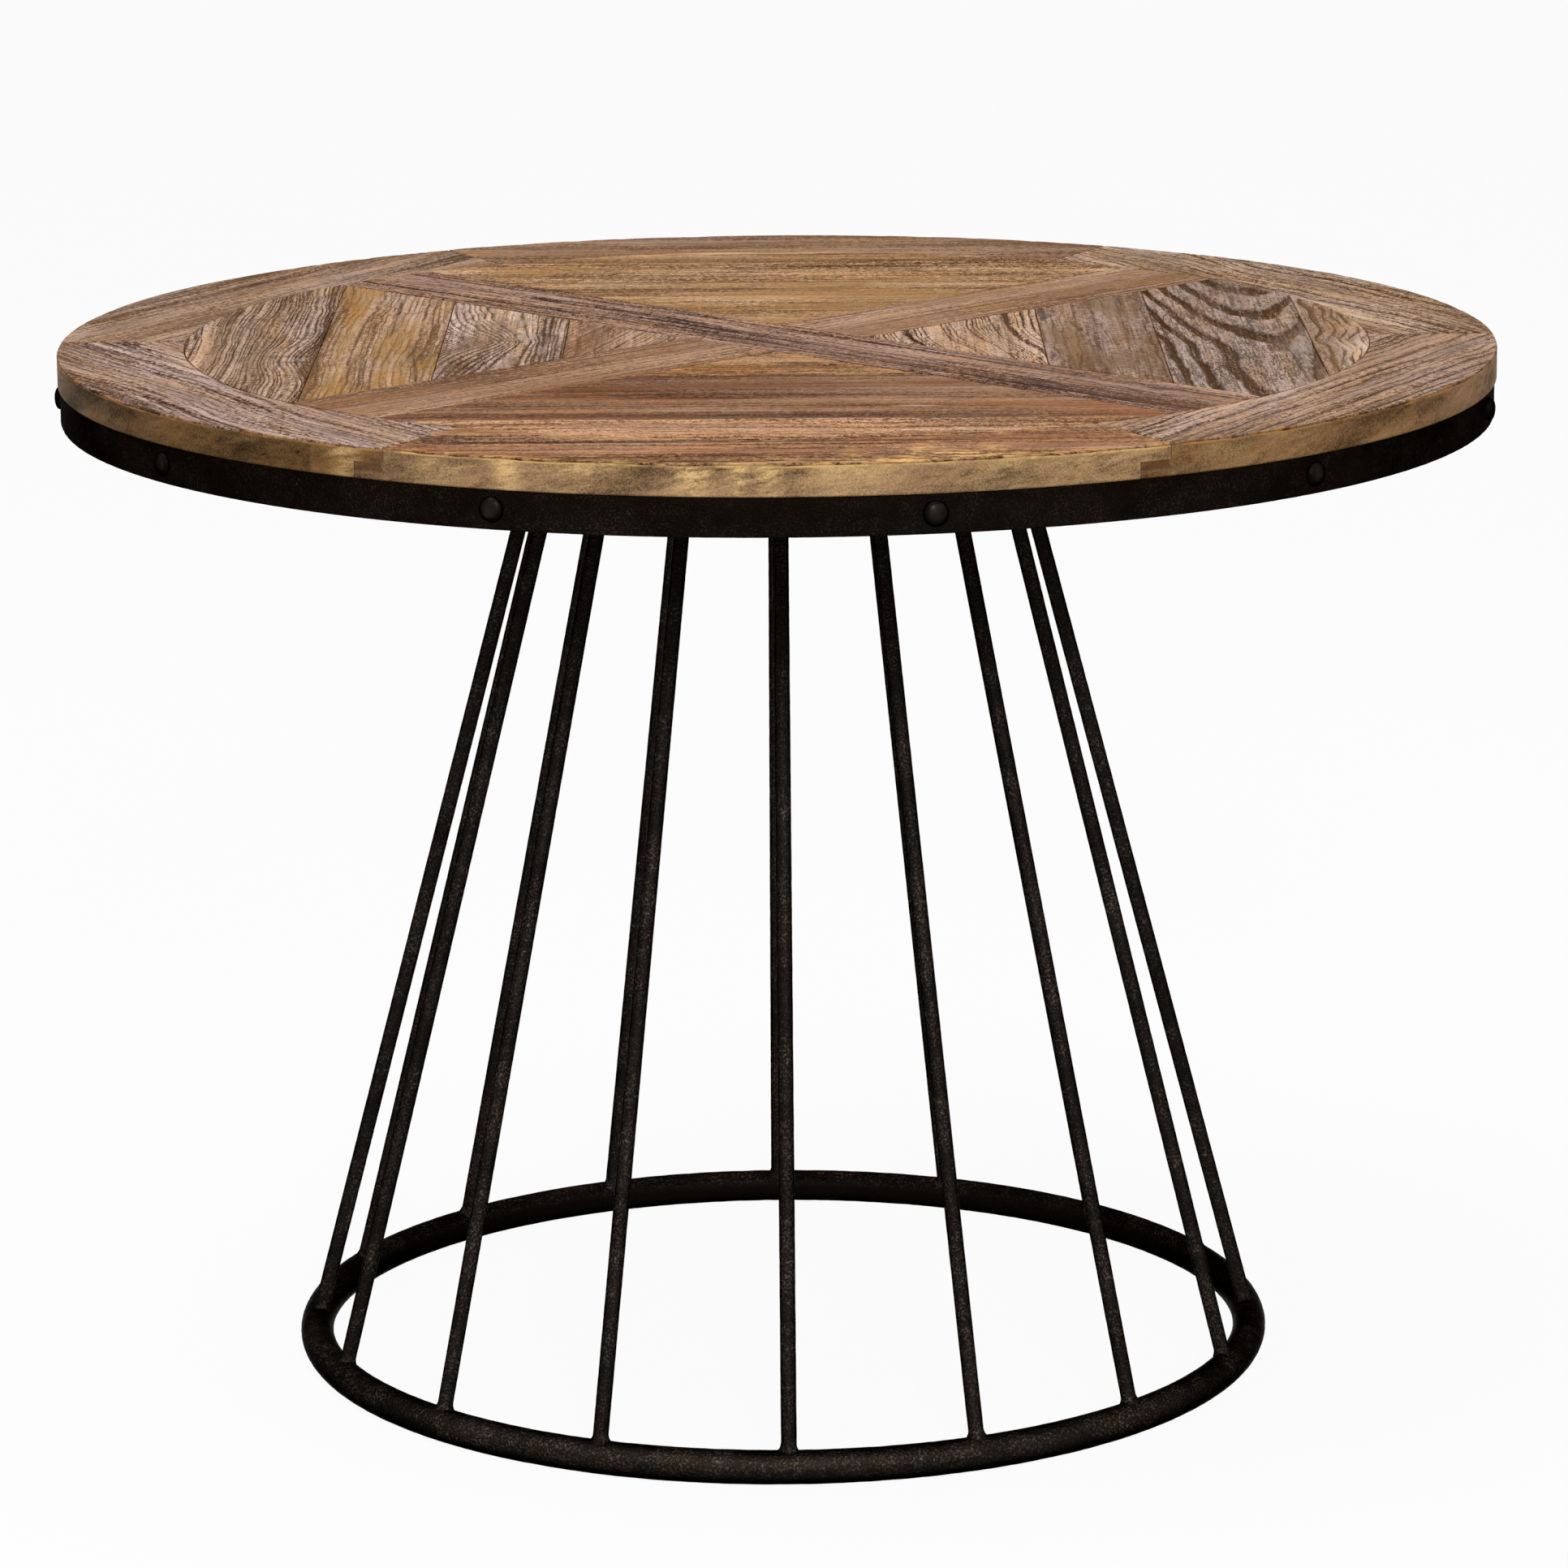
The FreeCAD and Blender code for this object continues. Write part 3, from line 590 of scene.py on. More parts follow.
        contrast=1.65, ridge=(205, 163, 130), hollow=(108, 74, 50), stain=(160, 114, 82), spacing=0.014,
        ring=0.4, broad=4.0, wear=0.6, wear_width=0.01),
    "far_plank_1": FAR_FIELD | dict(
        ridge=(198, 160, 120), hollow=(124, 90, 62), stain=(168, 128, 80)),
    "far_plank_2": FAR_FIELD | dict(
        contrast=1.15, ridge=(190, 154, 118), hollow=(122, 88, 58), stain=(160, 120, 74),
        marks=(("chip", 0.133, 0.276, 0.03, 0.0035, 0.8),)),
    "far_plank_3": FAR_FIELD | dict(
        ridge=(204, 166, 128), hollow=(110, 78, 49), stain=(166, 126, 78),
        marks=(("dark", -0.025, 0.345, 0.008, 0.02, 0.35), ("dark", 0.108, 0.345, 0.008, 0.022, 0.35),
        ("dark", -0.13, 0.30, 0.012, 0.008, 0.4))),
    "far_plank_4": dict(
        contrast=1.75, ridge=(198, 160, 122), hollow=(92, 63, 40), stain=(150, 112, 72), stain_mix=0.6,
        spacing=0.014, ring=0.4, marks=(("dark", 0.02, 0.425, 0.11, 0.005, 0.5),
        ("dark", -0.237, 0.365, 0.02, 0.012, 0.7))),
}


def look_of(node):
    """All values of a board's look by name."""
    return SimpleNamespace(**(PLAIN | LOOKS[node]))


# Widths over which a leaning band of rings fades, fans bow and a chevron's tip is round
FAN_EDGE = 0.006
FAN_KNEE = 0.03
CHEVRON_TIP = 0.003

# A split's ends fade over a length, and its seed is apart from those of the marks
SPLIT_FADE = 0.03
SPLIT_SEED = 20

# How far a lap's end takes its own colour
LAP_SHARE = 0.75


def ring_count(along, across, look, seed):
    """Growth rings counted across a board: straight lines that sway, bulge, meet in chevrons, lean in bands
    and bend round knots, or, with arches, nested bows along the board that run straight past its middle."""
    if look.arch:
        middle, left, right, pitch, tail = look.arch
        span = np.where(across < middle, left, right)
        climb = np.where(along > tail, along, tail + 0.22 * (along - tail))
        sway = 0.05 * ripple(along, across, 0.09, 0.06, seed)
        sway = sway + 0.02 * ripple(along, across, 0.03, 0.02, seed + 1)
        return (across - middle) ** 2 / span - climb / pitch + sway
    shift = look.sway * ripple(along, across, look.sway_length, 0.15, seed)
    shift = shift + 0.08 * look.spacing * ripple(along, across, 0.05, 0.03, seed + 2)
    for bend_along, bend_across, reach_along, reach_across, push in look.bends:
        off = ((along - bend_along) / reach_along) ** 2 + ((across - bend_across) / reach_across) ** 2
        shift = shift - push * np.exp(-off)
    for tip_along, reach, depth, start, end in look.chevrons:
        fade = 1 - smooth(across, start, end)
        shift = shift + depth * fade * (1 - np.exp(-np.hypot(along - tip_along, CHEVRON_TIP) / reach))
    for start, end, slope, bow in look.fans:
        band = smooth(across, start - FAN_EDGE, start + FAN_EDGE)
        band = band * (1 - smooth(across, end - FAN_EDGE, end + FAN_EDGE))
        shift = shift + slope * band * (along - bow * np.hypot(along, FAN_KNEE))
    for knot_along, knot_across, reach, half, push in look.knots:
        off_along = (along - knot_along) / reach
        off_across = (across - knot_across) / half
        bend = np.exp(-1.3 * np.abs(off_along) - np.abs(off_across) / 2)
        shift = shift - push * np.tanh(2 * off_across) * bend
    place = across + shift
    return place / look.spacing + look.uneven * ripple(0 * along, place, 1.0, 3 * look.spacing, seed + 1)


def split_path(along, across, split, seed):
    """Share of a long split at each point: 1 on a wandering line between two ends, fading with distance."""
    start, end, across_start, across_end, width, _ = split
    line = across_start + (across_end - across_start) * (along - start) / (end - start)
    line = line + 0.0012 * ripple(along, 0 * along, 0.15, 1.0, seed)
    run = smooth(along, start, start + SPLIT_FADE) * (1 - smooth(along, end - SPLIT_FADE, end))
    return run * np.exp(-((across - line) / width) ** 2)


def marks_on(along, across, look, seed):
    """Shares of knot brown, pale chips and silver grey: ragged ellipses, and the long splits as brown."""
    shares = {"dark": 0 * along, "chip": 0 * along, "grey": 0 * along}
    for index, mark in enumerate(look.marks):
        kind, middle_along, middle_across, half_along, half_across, strength = mark
        off = ((along - middle_along) / half_along) ** 2 + ((across - middle_across) / half_across) ** 2
        ragged = 0.35 * ripple(along, across, 0.03, 0.008, seed + index)
        shares[kind] = np.maximum(shares[kind], strength * smooth(1.3 - off + ragged, 0.0, 1.0))
    for index, split in enumerate(look.splits):
        line = split_path(along, across, split, seed + SPLIT_SEED + index)
        shares["dark"] = np.maximum(shares["dark"], 0.75 * line)
    return np.stack([shares["dark"], shares["chip"], shares["grey"]], -1)


def rim_shine(along, from_mitre, layer, look):
    """Three shares on the rim: soft painted highlights along it, the end that laps under the next board,
    and a lighter stretch past one place."""
    shine = 0 * along
    for middle, half, strength in look.gleams:
        shine = np.maximum(shine, strength * np.exp(-((along - middle) / half) ** 2))
    lap = np.where((layer < LOWER_LEVELS) & (from_mitre < BORDER_LAP), LAP_SHARE, 0.0)
    step_along, shift = look.rim_step
    return np.stack([shine, lap, np.where(along > step_along, shift, 0.0)], -1)


def rim_chips(along, from_rim, look, seed):
    """Share of torn chips that reach in from the rim: patches along it, uneven in depth and faded inwards."""
    share = 0 * along
    for index, (middle, half, reach, strength) in enumerate(look.chips):
        depth = reach * np.maximum(1 + 0.45 * ripple(along, 0 * along, 0.04, 1.0, seed + index), 0.2)
        fade = 1 - smooth(from_rim, 0.2 * depth, depth)
        share = np.maximum(share, strength * fade * np.exp(-((along - middle) / half) ** 4))
    return share


def corner_wear(along, from_rim, look, seed):
    """Share of bare wood on the rim's upper corner: a thin line that comes and goes along the board."""
    line = 1 - smooth(from_rim, 0.001, 0.0026)
    return look.corner * line * smooth(ripple(along, 0 * along, 0.07, 1.0, seed), -0.8, 0.5)


def carved(along, across, ring, edge, edge_round, look, seed):
    """Depth below the flat top: hollows between the ring ridges, splits, a slow wave and the worn edge."""
    phase = ring - np.floor(ring)
    rise_low, rise_high, fall = look.profile
    plateau = smooth(phase, rise_low, rise_high) * (1 - smooth(phase, 1 - fall, 1))
    hollow = (1 - plateau) * (1 + 0.25 * ripple(along, across, 0.1, 0.03, seed + 3))
    depth = look.drop + look.relief * hollow
    for index, split in enumerate(look.splits):
        depth = depth + split[-1] * split_path(along, across, split, seed + SPLIT_SEED + index)
    depth = depth + look.wave * (1 + 0.5 * ripple(along, across, 0.2, 0.06, seed + 4))
    reach = edge_round * (1 + 0.15 * ripple(along, across, 0.06, 0.06, seed + 5))
    reach = np.maximum(reach, edge_round / 3)
    over = np.clip(1 - edge / reach, 0, 1)
    return np.clip(depth, 0, None) + reach * (1 - np.sqrt(1 - over ** 2))


def lines(length, step):
    """Grid lines from 0 to a length: close together at both ends and even between."""
    inside = np.linspace(EDGE_LINES[-1], length - EDGE_LINES[-1], max(3, round(length / step)))
    return np.concatenate([EDGE_LINES[:-1], inside, length - EDGE_LINES[-2::-1]])


def board(node, seed, slot, first_lines, second_lines, plan, grain_of, edge_of, look, rim=False):
    """One board as the skin of a block: plan gives x and y from two grid places and whether a point is below
    the lap, and the top is carved by the board's own rings and wear. The lower half may lap a neighbour."""
    levels = np.array([WOOD_Z, LAP_Z - LAP_SEAM, LAP_Z + LAP_SEAM, TOP_Z - CORNER_DEPTH, TOP_Z])
    on_skin, sides, outline = block_skin(len(first_lines), len(second_lines), len(levels))
    step_u, step_v, layer = np.nonzero(on_skin)
    first, second = first_lines[step_u], second_lines[step_v]
    x, y = plan(first, second, layer < LOWER_LEVELS)
    along, across = grain_of(x, y)
    edge = edge_of(first, second)
    ring = ring_count(along, across, look, seed)
    edge_round = np.where(rim & (second > second_lines.mean()), RIM_ROUND, EDGE_ROUND)
    depth = carved(along, across, ring, edge, edge_round, look, seed)
    z = np.where(layer == len(levels) - 1, TOP_Z - depth, levels[layer])
    attributes = {
        "grain": np.stack([along, across, z], -1),
        "ring": ring,
        "edge": edge,
        "marks": marks_on(along, across, look, seed + 40),
    }
    if rim:
        from_rim = TOP_RADIUS - np.hypot(x, y)
        worn = corner_wear(along, from_rim, look, seed + 45)
        chips = attributes["marks"][:, 1]
        chips[:] = np.maximum.reduce([chips, worn, rim_chips(along, from_rim, look, seed + 60)])
        attributes["rim"] = rim_shine(along, first * TOP_RADIUS * SWEEP, layer, look)
    quads = np.concatenate(sides)
    rim_faces = slice(len(quads) - len(sides[-1]), len(quads)) if rim else None
    piece = build(node + "_board", np.stack([x, y, z], -1), quads, [outline], attributes, rim_faces)
    materials = [wood_finish(node + "_wood", look)]
    if rim:
        materials.append(rim_finish(node + "_rim", look))
    dress(piece, slot, [node], *materials)


def plank(node, seed, angle, sideways):
    """Plank across a field of the top: strips at each distance from the centre, between two braces or the
    border."""
    look = look_of(node)
    low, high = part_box(node)
    reach = sorted(abs(value) for value in ((low.y, high.y) if sideways else (low.x, high.x)))
    cell_along, cell_across = look.cell
    out = reach[0] + lines(reach[1] - reach[0], cell_across)
    out[0] = max(out[0], FIELD_APEX + EDGE_LINES[1])
    half = np.minimum(out - FIELD_APEX, np.sqrt(np.clip(FIELD_RADIUS ** 2 - out ** 2, 0, None)))
    half = np.maximum(half, EDGE_LINES[1])
    run = lines(2 * half.max(), cell_along) / half.max() - 1
    cosine, sine = round(math.cos(angle)), round(math.sin(angle))

    def plan(c, t, lower):
        width = np.interp(c, out, half) * t
        return c * cosine - width * sine, c * sine + width * cosine

    def edge_of(c, t):
        ends = (1 - np.abs(t)) * np.interp(c, out, half) * math.sqrt(0.5)
        return np.minimum(ends, SIDE_SHARE * np.minimum(c - out[0], out[-1] - c))

    def grain_of(x, y):
        return (x, y) if sideways else (y, x)

    # Outwards, sideways and up are right-handed, so the strips come first
    board(node, seed, "plank_wood", out, run, plan, grain_of, edge_of, look)


def brace(node, seed, angle, start):
    """Brace along a diagonal: strips along its length, with both ends on the border's circle or square at a
    butt."""
    look = look_of(node)
    cell_along, cell_across = look.cell
    across_lines = lines(BRACE_WIDTH, cell_across) - BRACE_WIDTH / 2
    along_lines = lines(FIELD_RADIUS - start, cell_along) / (FIELD_RADIUS - start)
    cosine, sine = math.cos(angle), math.sin(angle)

    def ends(c):
        far = np.sqrt(FIELD_RADIUS ** 2 - c ** 2)
        return (-far if start < 0 else start + 0 * c), far

    def plan(t, c, lower):
        near, far = ends(c)
        run = near + t * (far - near)
        return run * cosine - c * sine, run * sine + c * cosine

    def edge_of(t, c):
        near, far = ends(c)
        tips = np.minimum(t, 1 - t) * (far - near)
        return np.minimum(tips, BRACE_WIDTH / 2 - np.abs(c))

    def grain_of(x, y):
        return x * cosine + y * sine, y * cosine - x * sine

    board(node, seed, "brace_wood", along_lines, across_lines, plan, grain_of, edge_of, look)


def border(node, seed, first_angle):
    """Border board: a sixth of a ring between two mitres, whose lower half is set back by the lap."""
    look = look_of(node)
    cell_along, cell_across = look.cell
    out = INNER_RADIUS + lines(TOP_RADIUS - INNER_RADIUS, cell_across)
    run = lines(TOP_RADIUS * SWEEP, cell_along) / (TOP_RADIUS * SWEEP)
    middle = first_angle + SWEEP / 2
    cosine, sine = math.cos(middle), math.sin(middle)

    def plan(t, c, lower):
        lap = np.where(lower, -BORDER_LAP, 0.0)
        start = first_angle + np.arcsin((lap + BOARD_GAP / 2) / c)
        end = first_angle + SWEEP + np.arcsin((lap - BOARD_GAP / 2) / c)
        turn = start + t * (end - start)
        return c * np.cos(turn), c * np.sin(turn)

    def edge_of(t, c):
        tips = np.minimum(t, 1 - t) * SWEEP * c
        return np.minimum(tips, np.minimum(c - INNER_RADIUS, TOP_RADIUS - c))

    def grain_of(x, y):
        return y * cosine - x * sine, x * cosine + y * sine

    # Turning, inwards and up are right-handed, so the places across run from the rim inwards
    board(node, seed, "border_wood", run, out[::-1], plan, grain_of, edge_of, look, rim=True)


def wood_top():
    """All boards of the top."""
    for index, name in enumerate(("far_right", "far", "far_left", "near_left", "near", "near_right")):
        border("border_" + name, 100 + 50 * index, index * SWEEP)
    brace("brace_through", 500, math.radians(-45), -FIELD_RADIUS)
    butt = BRACE_WIDTH / 2 + BOARD_GAP
    brace("brace_far_right", 550, math.radians(45), butt)
    brace("brace_near_left", 600, math.radians(225), butt)
    for index, (name, degrees) in enumerate((("left", 180), ("right", 0), ("near", 270), ("far", 90))):
        for number in range(1, 5):
            seed = 700 + 200 * index + 50 * number
            plank("%s_plank_%d" % (name, number), seed, math.radians(degrees), name in ("near", "far"))


# Steel

# Side of the ring's bar with the most rubbed paint and painted sheen, where light falls on it, from
# straight out towards straight up; how much the rods are rubbed and painted with sheen at foot height, and
# the share of that which they lose under the top, as painted shade
SHEEN_SIDE = math.radians(65)
ROD_RUB_AND_SHEEN = 0.6
HIGH_ROD_SHADE = 0.8

# How deep a rod starts inside the ring's bar, and the length over which its head turns level with the plate
ROD_SINK = 0.002
HEAD_LEVEL = 0.03

# Power of the hollow curve of a weld, and how deep it is set into the rod
FILLET_POWER = 1.6
WELD_SEAT = 0.0001

# Where a rivet's dome ends in a flat crown, as a share of a quarter turn, and how deep its foot is sunk
CROWN_SHARE = 0.97
RIVET_SINK = 0.0006


def lumps(x, y, z, size, seed, waves=24):
    """Seeded noise of unit spread in space: a sum of sine waves about one size long."""
    draw = np.random.default_rng(seed)
    total = np.zeros_like(x)
    for _ in range(waves):
        push = draw.normal(0, 1, 3) / size
        total += np.sin(math.tau * (push[0] * x + push[1] * y + push[2] * z) + draw.uniform(0, math.tau))
    return total / math.sqrt(waves / 2)


def dented(x, y, z, size, depth, seed):
    """Depth of hammer dents: only the high side of the noise, so that the skin is never raised."""
    return depth * np.clip(0.5 + 0.5 * lumps(x, y, z, size, seed), 0, 1.5)


def spokes(spin, out, side):
    """Arrows of unit length at angles about a rod."""
    return np.cos(spin)[..., None] * out + np.sin(spin)[..., None] * side


def steel_piece(name, node, points, quads, ends, rub_and_sheen, material):
    """Piece of black steel in place of a node, with each point's share of rubbed paint and painted sheen."""
    piece = build(name, points.reshape(-1, 3), quads, ends, {"rub_and_sheen": rub_and_sheen.ravel()})
    dress(piece, "black_steel", [node], material)


def base_ring(material):
    """Ring on the floor: a round section carried round a circle, dented inwards."""
    count_round, count_along = 40, 900
    turn, spin = grid(circle(count_along), circle(count_round))
    x = RING_RADIUS * np.cos(turn)
    y = RING_RADIUS * np.sin(turn)
    z = BAR_RADIUS * np.sin(spin)
    section = BAR_RADIUS - dented(x + BAR_RADIUS * np.cos(spin), y, z, size=0.016, depth=0.00012, seed=11)
    reach = RING_RADIUS + section * np.cos(spin)
    points = np.stack([reach * np.cos(turn), reach * np.sin(turn), BAR_RADIUS + section * np.sin(spin)], -1)
    # painted sheen: the bar is greyer, with paler crowns, on its upper outer side, where light falls
    rub_and_sheen = smooth(np.cos(spin - SHEEN_SIDE), -0.3, 1.0)
    quads, ends = tube_skin(count_round, count_along, True)
    steel_piece("base_ring_bar", "base_ring", points, quads[:, ::-1], ends, rub_and_sheen, material)


def rod_frame(index):
    """Foot of a rod's middle line, its length, and three axes: along it, outwards and to the side."""
    angle = ROD_PHASE + index * math.tau / ROD_COUNT
    outward = np.array([math.cos(angle), math.sin(angle), 0])
    foot = RING_RADIUS * outward + np.array([0, 0, BAR_RADIUS])
    head = ROD_TOP_RADIUS * outward + np.array([0, 0, PLATE_Z])
    run = head - foot
    length = np.linalg.norm(run)
    along = run / length
    side = np.cross(along, outward)
    side /= np.linalg.norm(side)
    return foot, length, along, np.cross(side, along), side


def rod(index, material):
    """Rod: a round section carried from inside the ring's skin to the plate, dented inwards."""
    foot, length, along, out, side = rod_frame(index)
    count_round, count_along = 20, 420
    run, spin = grid(np.linspace(BAR_RADIUS - ROD_SINK, length, count_along), circle(count_round))
    x = ROD_RADIUS * np.cos(spin)
    y = ROD_RADIUS * np.sin(spin)
    section = ROD_RADIUS - dented(x, y, run, size=0.012, depth=0.00008, seed=40 + index)
    ring = section[..., None] * spokes(spin, out, side)
    run = run - ring[..., 2] / along[2] * smooth(run, length - HEAD_LEVEL, length)
    points = foot + run[..., None] * along + ring
    quads, ends = tube_skin(count_round, count_along, False)
    node = "rod_%02d" % (index + 1)
    # painted shade: the rods keep their sheen near the foot and lose most of it towards the plate, where the
    # top shades them
    rub_and_sheen = ROD_RUB_AND_SHEEN * (1 - HIGH_ROD_SHADE * smooth(points[..., 2] / PLATE_Z, 0.6, 0.97))
    steel_piece(node + "_bar", node, points, quads, ends, rub_and_sheen, material)


def ring_gap(points):
    """Distance of points from the skin of the base ring's bar, positive outside it."""
    reach = np.hypot(points[..., 0], points[..., 1]) - RING_RADIUS
    return np.hypot(reach, points[..., 2] - BAR_RADIUS) - BAR_RADIUS


def weld_beads(name, node, at_foot, reach, climb, seed, material):
    """Welds round each rod: a hollow fillet that runs from the rod's side down to the skin of the ring, or up
    to the plate, as a curve of two powers, lumpy all round and closed by two corners inside the rod."""
    count_along = 48
    bow = np.linspace(0, 1, 10)
    inside = np.array([[-0.0012, -0.0009], [-0.0012, 0.0]])
    count_round = len(bow) + len(inside)
    spin, place = grid(circle(count_along), np.arange(count_round))
    quads, ends = tube_skin(count_round, count_along, True)
    upwards = 1 if at_foot else -1
    all_points, all_quads = [], []
    for index in range(ROD_COUNT):
        foot, length, along, out, side = rod_frame(index)
        lump = 1 + 0.16 * ripple(np.cos(spin), np.sin(spin), 1.6, 1.6, seed + index)
        lump = np.clip(lump + 0.05 * ripple(spin, place, 0.8, 6.0, seed + 20 + index), 0.6, 1.4)
        wide = np.concatenate([reach * bow ** FILLET_POWER, inside[:, 0]])[place]
        tall = np.concatenate([climb * (1 - bow) ** FILLET_POWER - 0.0004 * bow, inside[:, 1]])[place]
        tall[:, -1] = climb
        radius = ROD_RADIUS - WELD_SEAT + np.where(wide > 0, wide * lump, wide)
        surface = radius[..., None] * spokes(spin, out, side)
        if at_foot:
            run = np.full_like(radius, BAR_RADIUS)
            for _ in range(12):
                run = run - ring_gap(foot + run[..., None] * along + surface)
                run = np.maximum(run, BAR_RADIUS / 2)
        else:
            run = length - surface[..., 2] / along[2]
        run = run + upwards * np.where(tall > 0, tall * lump, tall)
        points = foot + run[..., None] * along + surface
        if not at_foot:
            points[..., 2] = np.minimum(points[..., 2], PLATE_Z + 0.0005)
        all_points.append(points)
        all_quads.append(quads[:, ::upwards] + index * spin.size)
    rub_and_sheen = np.full((ROD_COUNT, *spin.shape), ROD_RUB_AND_SHEEN)
    steel_piece(name, node, np.array(all_points), np.concatenate(all_quads), ends, rub_and_sheen, material)


def steel_band(material):
    """Hoop of flat bar: its rounded section carried round the table, the outer face pebbled inwards."""
    height = BAND_HIGH.z - BAND_LOW.z
    corner = 0.0009
    face = np.linspace(corner, height - corner, 16)
    bevel = np.linspace(0, math.pi / 2, 4)[1:-1]
    inset = np.concatenate([[BAND_THICKNESS, corner], corner - corner * np.sin(bevel), 0 * face,
                            corner - corner * np.cos(bevel), [corner, BAND_THICKNESS]])
    level = np.concatenate([[0, 0], corner - corner * np.cos(bevel), face,
                            height - corner + corner * np.sin(bevel), [height, height]])
    count_along = 1500
    turn, place = grid(circle(count_along), np.arange(len(inset)))
    x = BAND_RADIUS * np.cos(turn)
    y = BAND_RADIUS * np.sin(turn)
    outer = (inset < BAND_THICKNESS / 2)[place]
    pebble = np.where(outer, dented(x, y, level[place], size=0.008, depth=0.00022, seed=21), 0)
    reach = BAND_RADIUS - inset[place] - pebble
    points = np.stack([reach * np.cos(turn), reach * np.sin(turn), BAND_LOW.z + level[place]], -1)
    quads, ends = tube_skin(len(inset), count_along, True)
    steel_piece("steel_band_hoop", "steel_band", points, quads[:, ::-1], ends, outer.astype(float), material)


def band_rivets(material):
    """Domed heads: a low round cap with a slightly flat crown, turned about its own axis, set on the band."""
    count_round, count_along = 28, 12
    climb, spin = grid(np.linspace(0, 1, count_along), circle(count_round))
    quads, ends = tube_skin(count_round, count_along, False)
    middle_z = (BAND_LOW.z + BAND_HIGH.z) / 2
    all_points, all_quads, all_ends = [], [], []
    for index in range(RIVET_COUNT):
        angle = RIVET_PHASE + index * math.tau / RIVET_COUNT
        uneven = 1 + 0.025 * ripple(np.cos(spin) * climb, np.sin(spin) * climb, 1.4, 1.4, 300 + index)
        width = RIVET_RADIUS * np.cos(climb * math.pi / 2 * CROWN_SHARE) * uneven
        proud = RIVET_HEIGHT * np.sin(climb * math.pi / 2) ** 0.9 * 0.98 - RIVET_SINK * (climb == 0)
        across = width * np.cos(spin)
        rise = width * np.sin(spin)
        reach = np.sqrt(BAND_RADIUS ** 2 - across ** 2) + proud
        x = reach * math.cos(angle) - across * math.sin(angle)
        y = reach * math.sin(angle) + across * math.cos(angle)
        all_points.append(np.stack([x, y, middle_z + rise], -1))
        all_quads.append(quads + index * spin.size)
        all_ends += [end + index * spin.size for end in ends]
    # painted highlight: each rivet head is greyer and paler-crowned at its crown and on its upper side, where
    # light falls
    rub_and_sheen = smooth(climb + 0.4 * np.sin(spin) * (1 - climb), 0.25, 1.05)
    all_rub_and_sheen = np.tile(rub_and_sheen, (RIVET_COUNT, 1, 1))
    steel_piece("band_rivet_heads", "band_rivets", np.array(all_points), np.concatenate(all_quads), all_ends,
                all_rub_and_sheen, material)


def paint_nodes(material, *names):
    """Gives CAD nodes that keep their shape a better material."""
    for name in names:
        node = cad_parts[name]
        node.data.materials.clear()
        node.data.materials.append(material)


def steel_base():
    """Band, rivets, rods, ring, welds and the parts under the top."""
    bar = steel_finish("hammered_bar", (13, 10, 8), (38, 32, 28), (112, 100, 90),
                       dimple=560, grit=0.7, rough=0.3, depth=0.0008)
    band = steel_finish("pebbled_band", (9, 6, 4), (24, 18, 14), (56, 46, 39),
                        dimple=700, grit=0.3, rough=0.5, depth=0.0010)
    rivet = steel_finish("smooth_rivet", (11, 9, 7), (46, 39, 34), (66, 58, 52),
                         dimple=160, grit=0.0, rough=0.34, depth=0.0003)
    base_ring(bar)
    for index in range(ROD_COUNT):
        rod(index, bar)
    weld_beads("lower_weld_beads", "lower_welds", True, reach=0.0026, climb=0.0050, seed=400, material=bar)
    weld_beads("upper_weld_beads", "upper_welds", False, reach=0.0022, climb=0.0040, seed=460, material=bar)
    steel_band(band)
    band_rivets(rivet)
    paint_nodes(band, "mounting_plate")
    paint_nodes(plywood_finish(), "sub_top", "brace_dowels")
    paint_nodes(screw_finish(), "top_screws", "mounting_screws")


# Stage


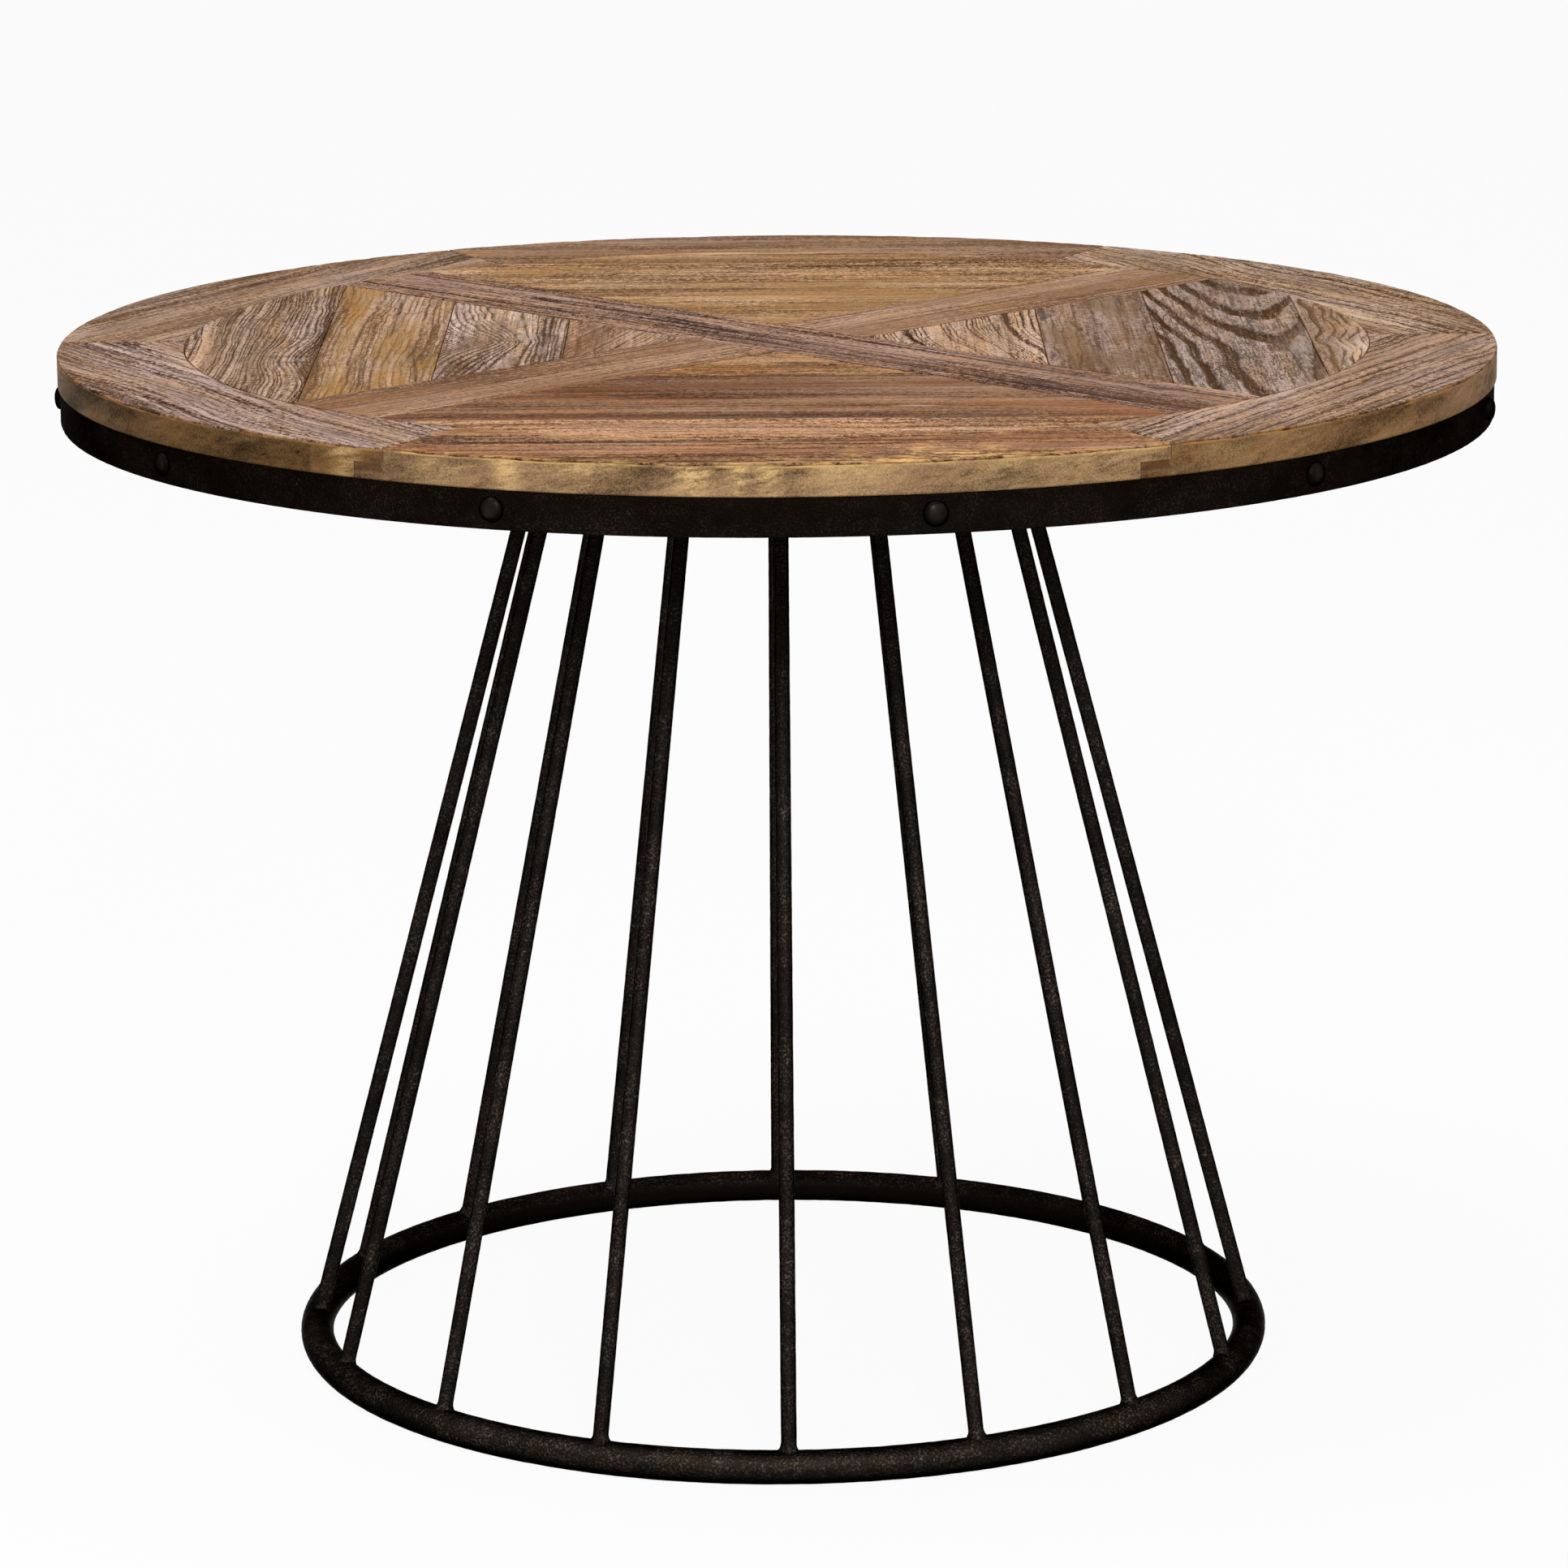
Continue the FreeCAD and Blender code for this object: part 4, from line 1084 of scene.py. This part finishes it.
def floor():
    """Pale floor that shows as white to the camera and keeps a soft shadow."""
    half = 40.0
    points = np.array([[-half, -half, 0], [half, -half, 0], [half, half, 0], [-half, half, 0]])
    plane = build("floor", points, np.array([[0, 1, 2, 3]]))
    finish = Finish("pale_floor")
    seen = finish.seen()
    tone = finish.mix(seen, (0.45, 0.45, 0.45, 1.0), (0.9, 0.9, 0.9, 1.0))
    finish.shade({"Base Color": tone, "Roughness": 0.9, "Specular IOR Level": 0.0})
    lit = Wire(finish, finish.shader.outputs[0])
    shown = finish.node("MixShader", {0: seen * 0.94, 1: lit, 2: finish.node("Emission")})
    finish.feed(finish.tree.nodes["Material Output"], {"Surface": shown})
    plane.data.materials.append(finish.owner)


def lamp(name, place, aim, size, power):
    """Large soft lamp at a place, turned to a point."""
    data = bpy.data.lights.new(name, "AREA")
    data.shape = "DISK"
    data.size = size
    data.energy = power
    light = bpy.data.objects.new(name, data)
    light.location = place
    light.rotation_euler = (Vector(aim) - Vector(place)).to_track_quat("-Z", "Y").to_euler()
    light.visible_camera = False
    bpy.context.scene.collection.objects.link(light)


def studio():
    """Even pale surround and two large soft lamps, one overhead and one at the front."""
    sky = Finish("studio", bpy.data.worlds, "Background")
    sky.shade({"Color": WHITE, "Strength": sky.rise(sky.seen(), 0.0, 1.0, 0.3, 1.0)})
    bpy.context.scene.world = sky.owner
    lamp("key_lamp", place=(-0.8, -0.3, 4.4), aim=(0, 0, 0.7), size=3.2, power=90)
    lamp("front_lamp", place=(0.4, -4.2, 2.9), aim=(0, 0, 0.5), size=1.0, power=90)


def camera():
    """Camera as the photo's: a long lens looking a little down on the table."""
    focal_pixels = 8139.1
    image_pixels = 1932
    tilt_down = 0.2256
    roll = -0.0063
    data = bpy.data.cameras.new("camera")
    data.sensor_fit = "HORIZONTAL"
    data.lens = data.sensor_width * focal_pixels / image_pixels
    eye = bpy.data.objects.new("camera", data)
    turn = Matrix.Rotation(math.pi / 2 - tilt_down, 4, "X") @ Matrix.Rotation(roll, 4, "Z")
    eye.matrix_world = Matrix.Translation((0.0032, -4.8696, 1.5510)) @ turn
    bpy.context.scene.collection.objects.link(eye)
    bpy.context.scene.camera = eye


wood_top()
steel_base()
floor()
studio()
camera()
bpy.context.scene.view_settings.view_transform = "Standard"
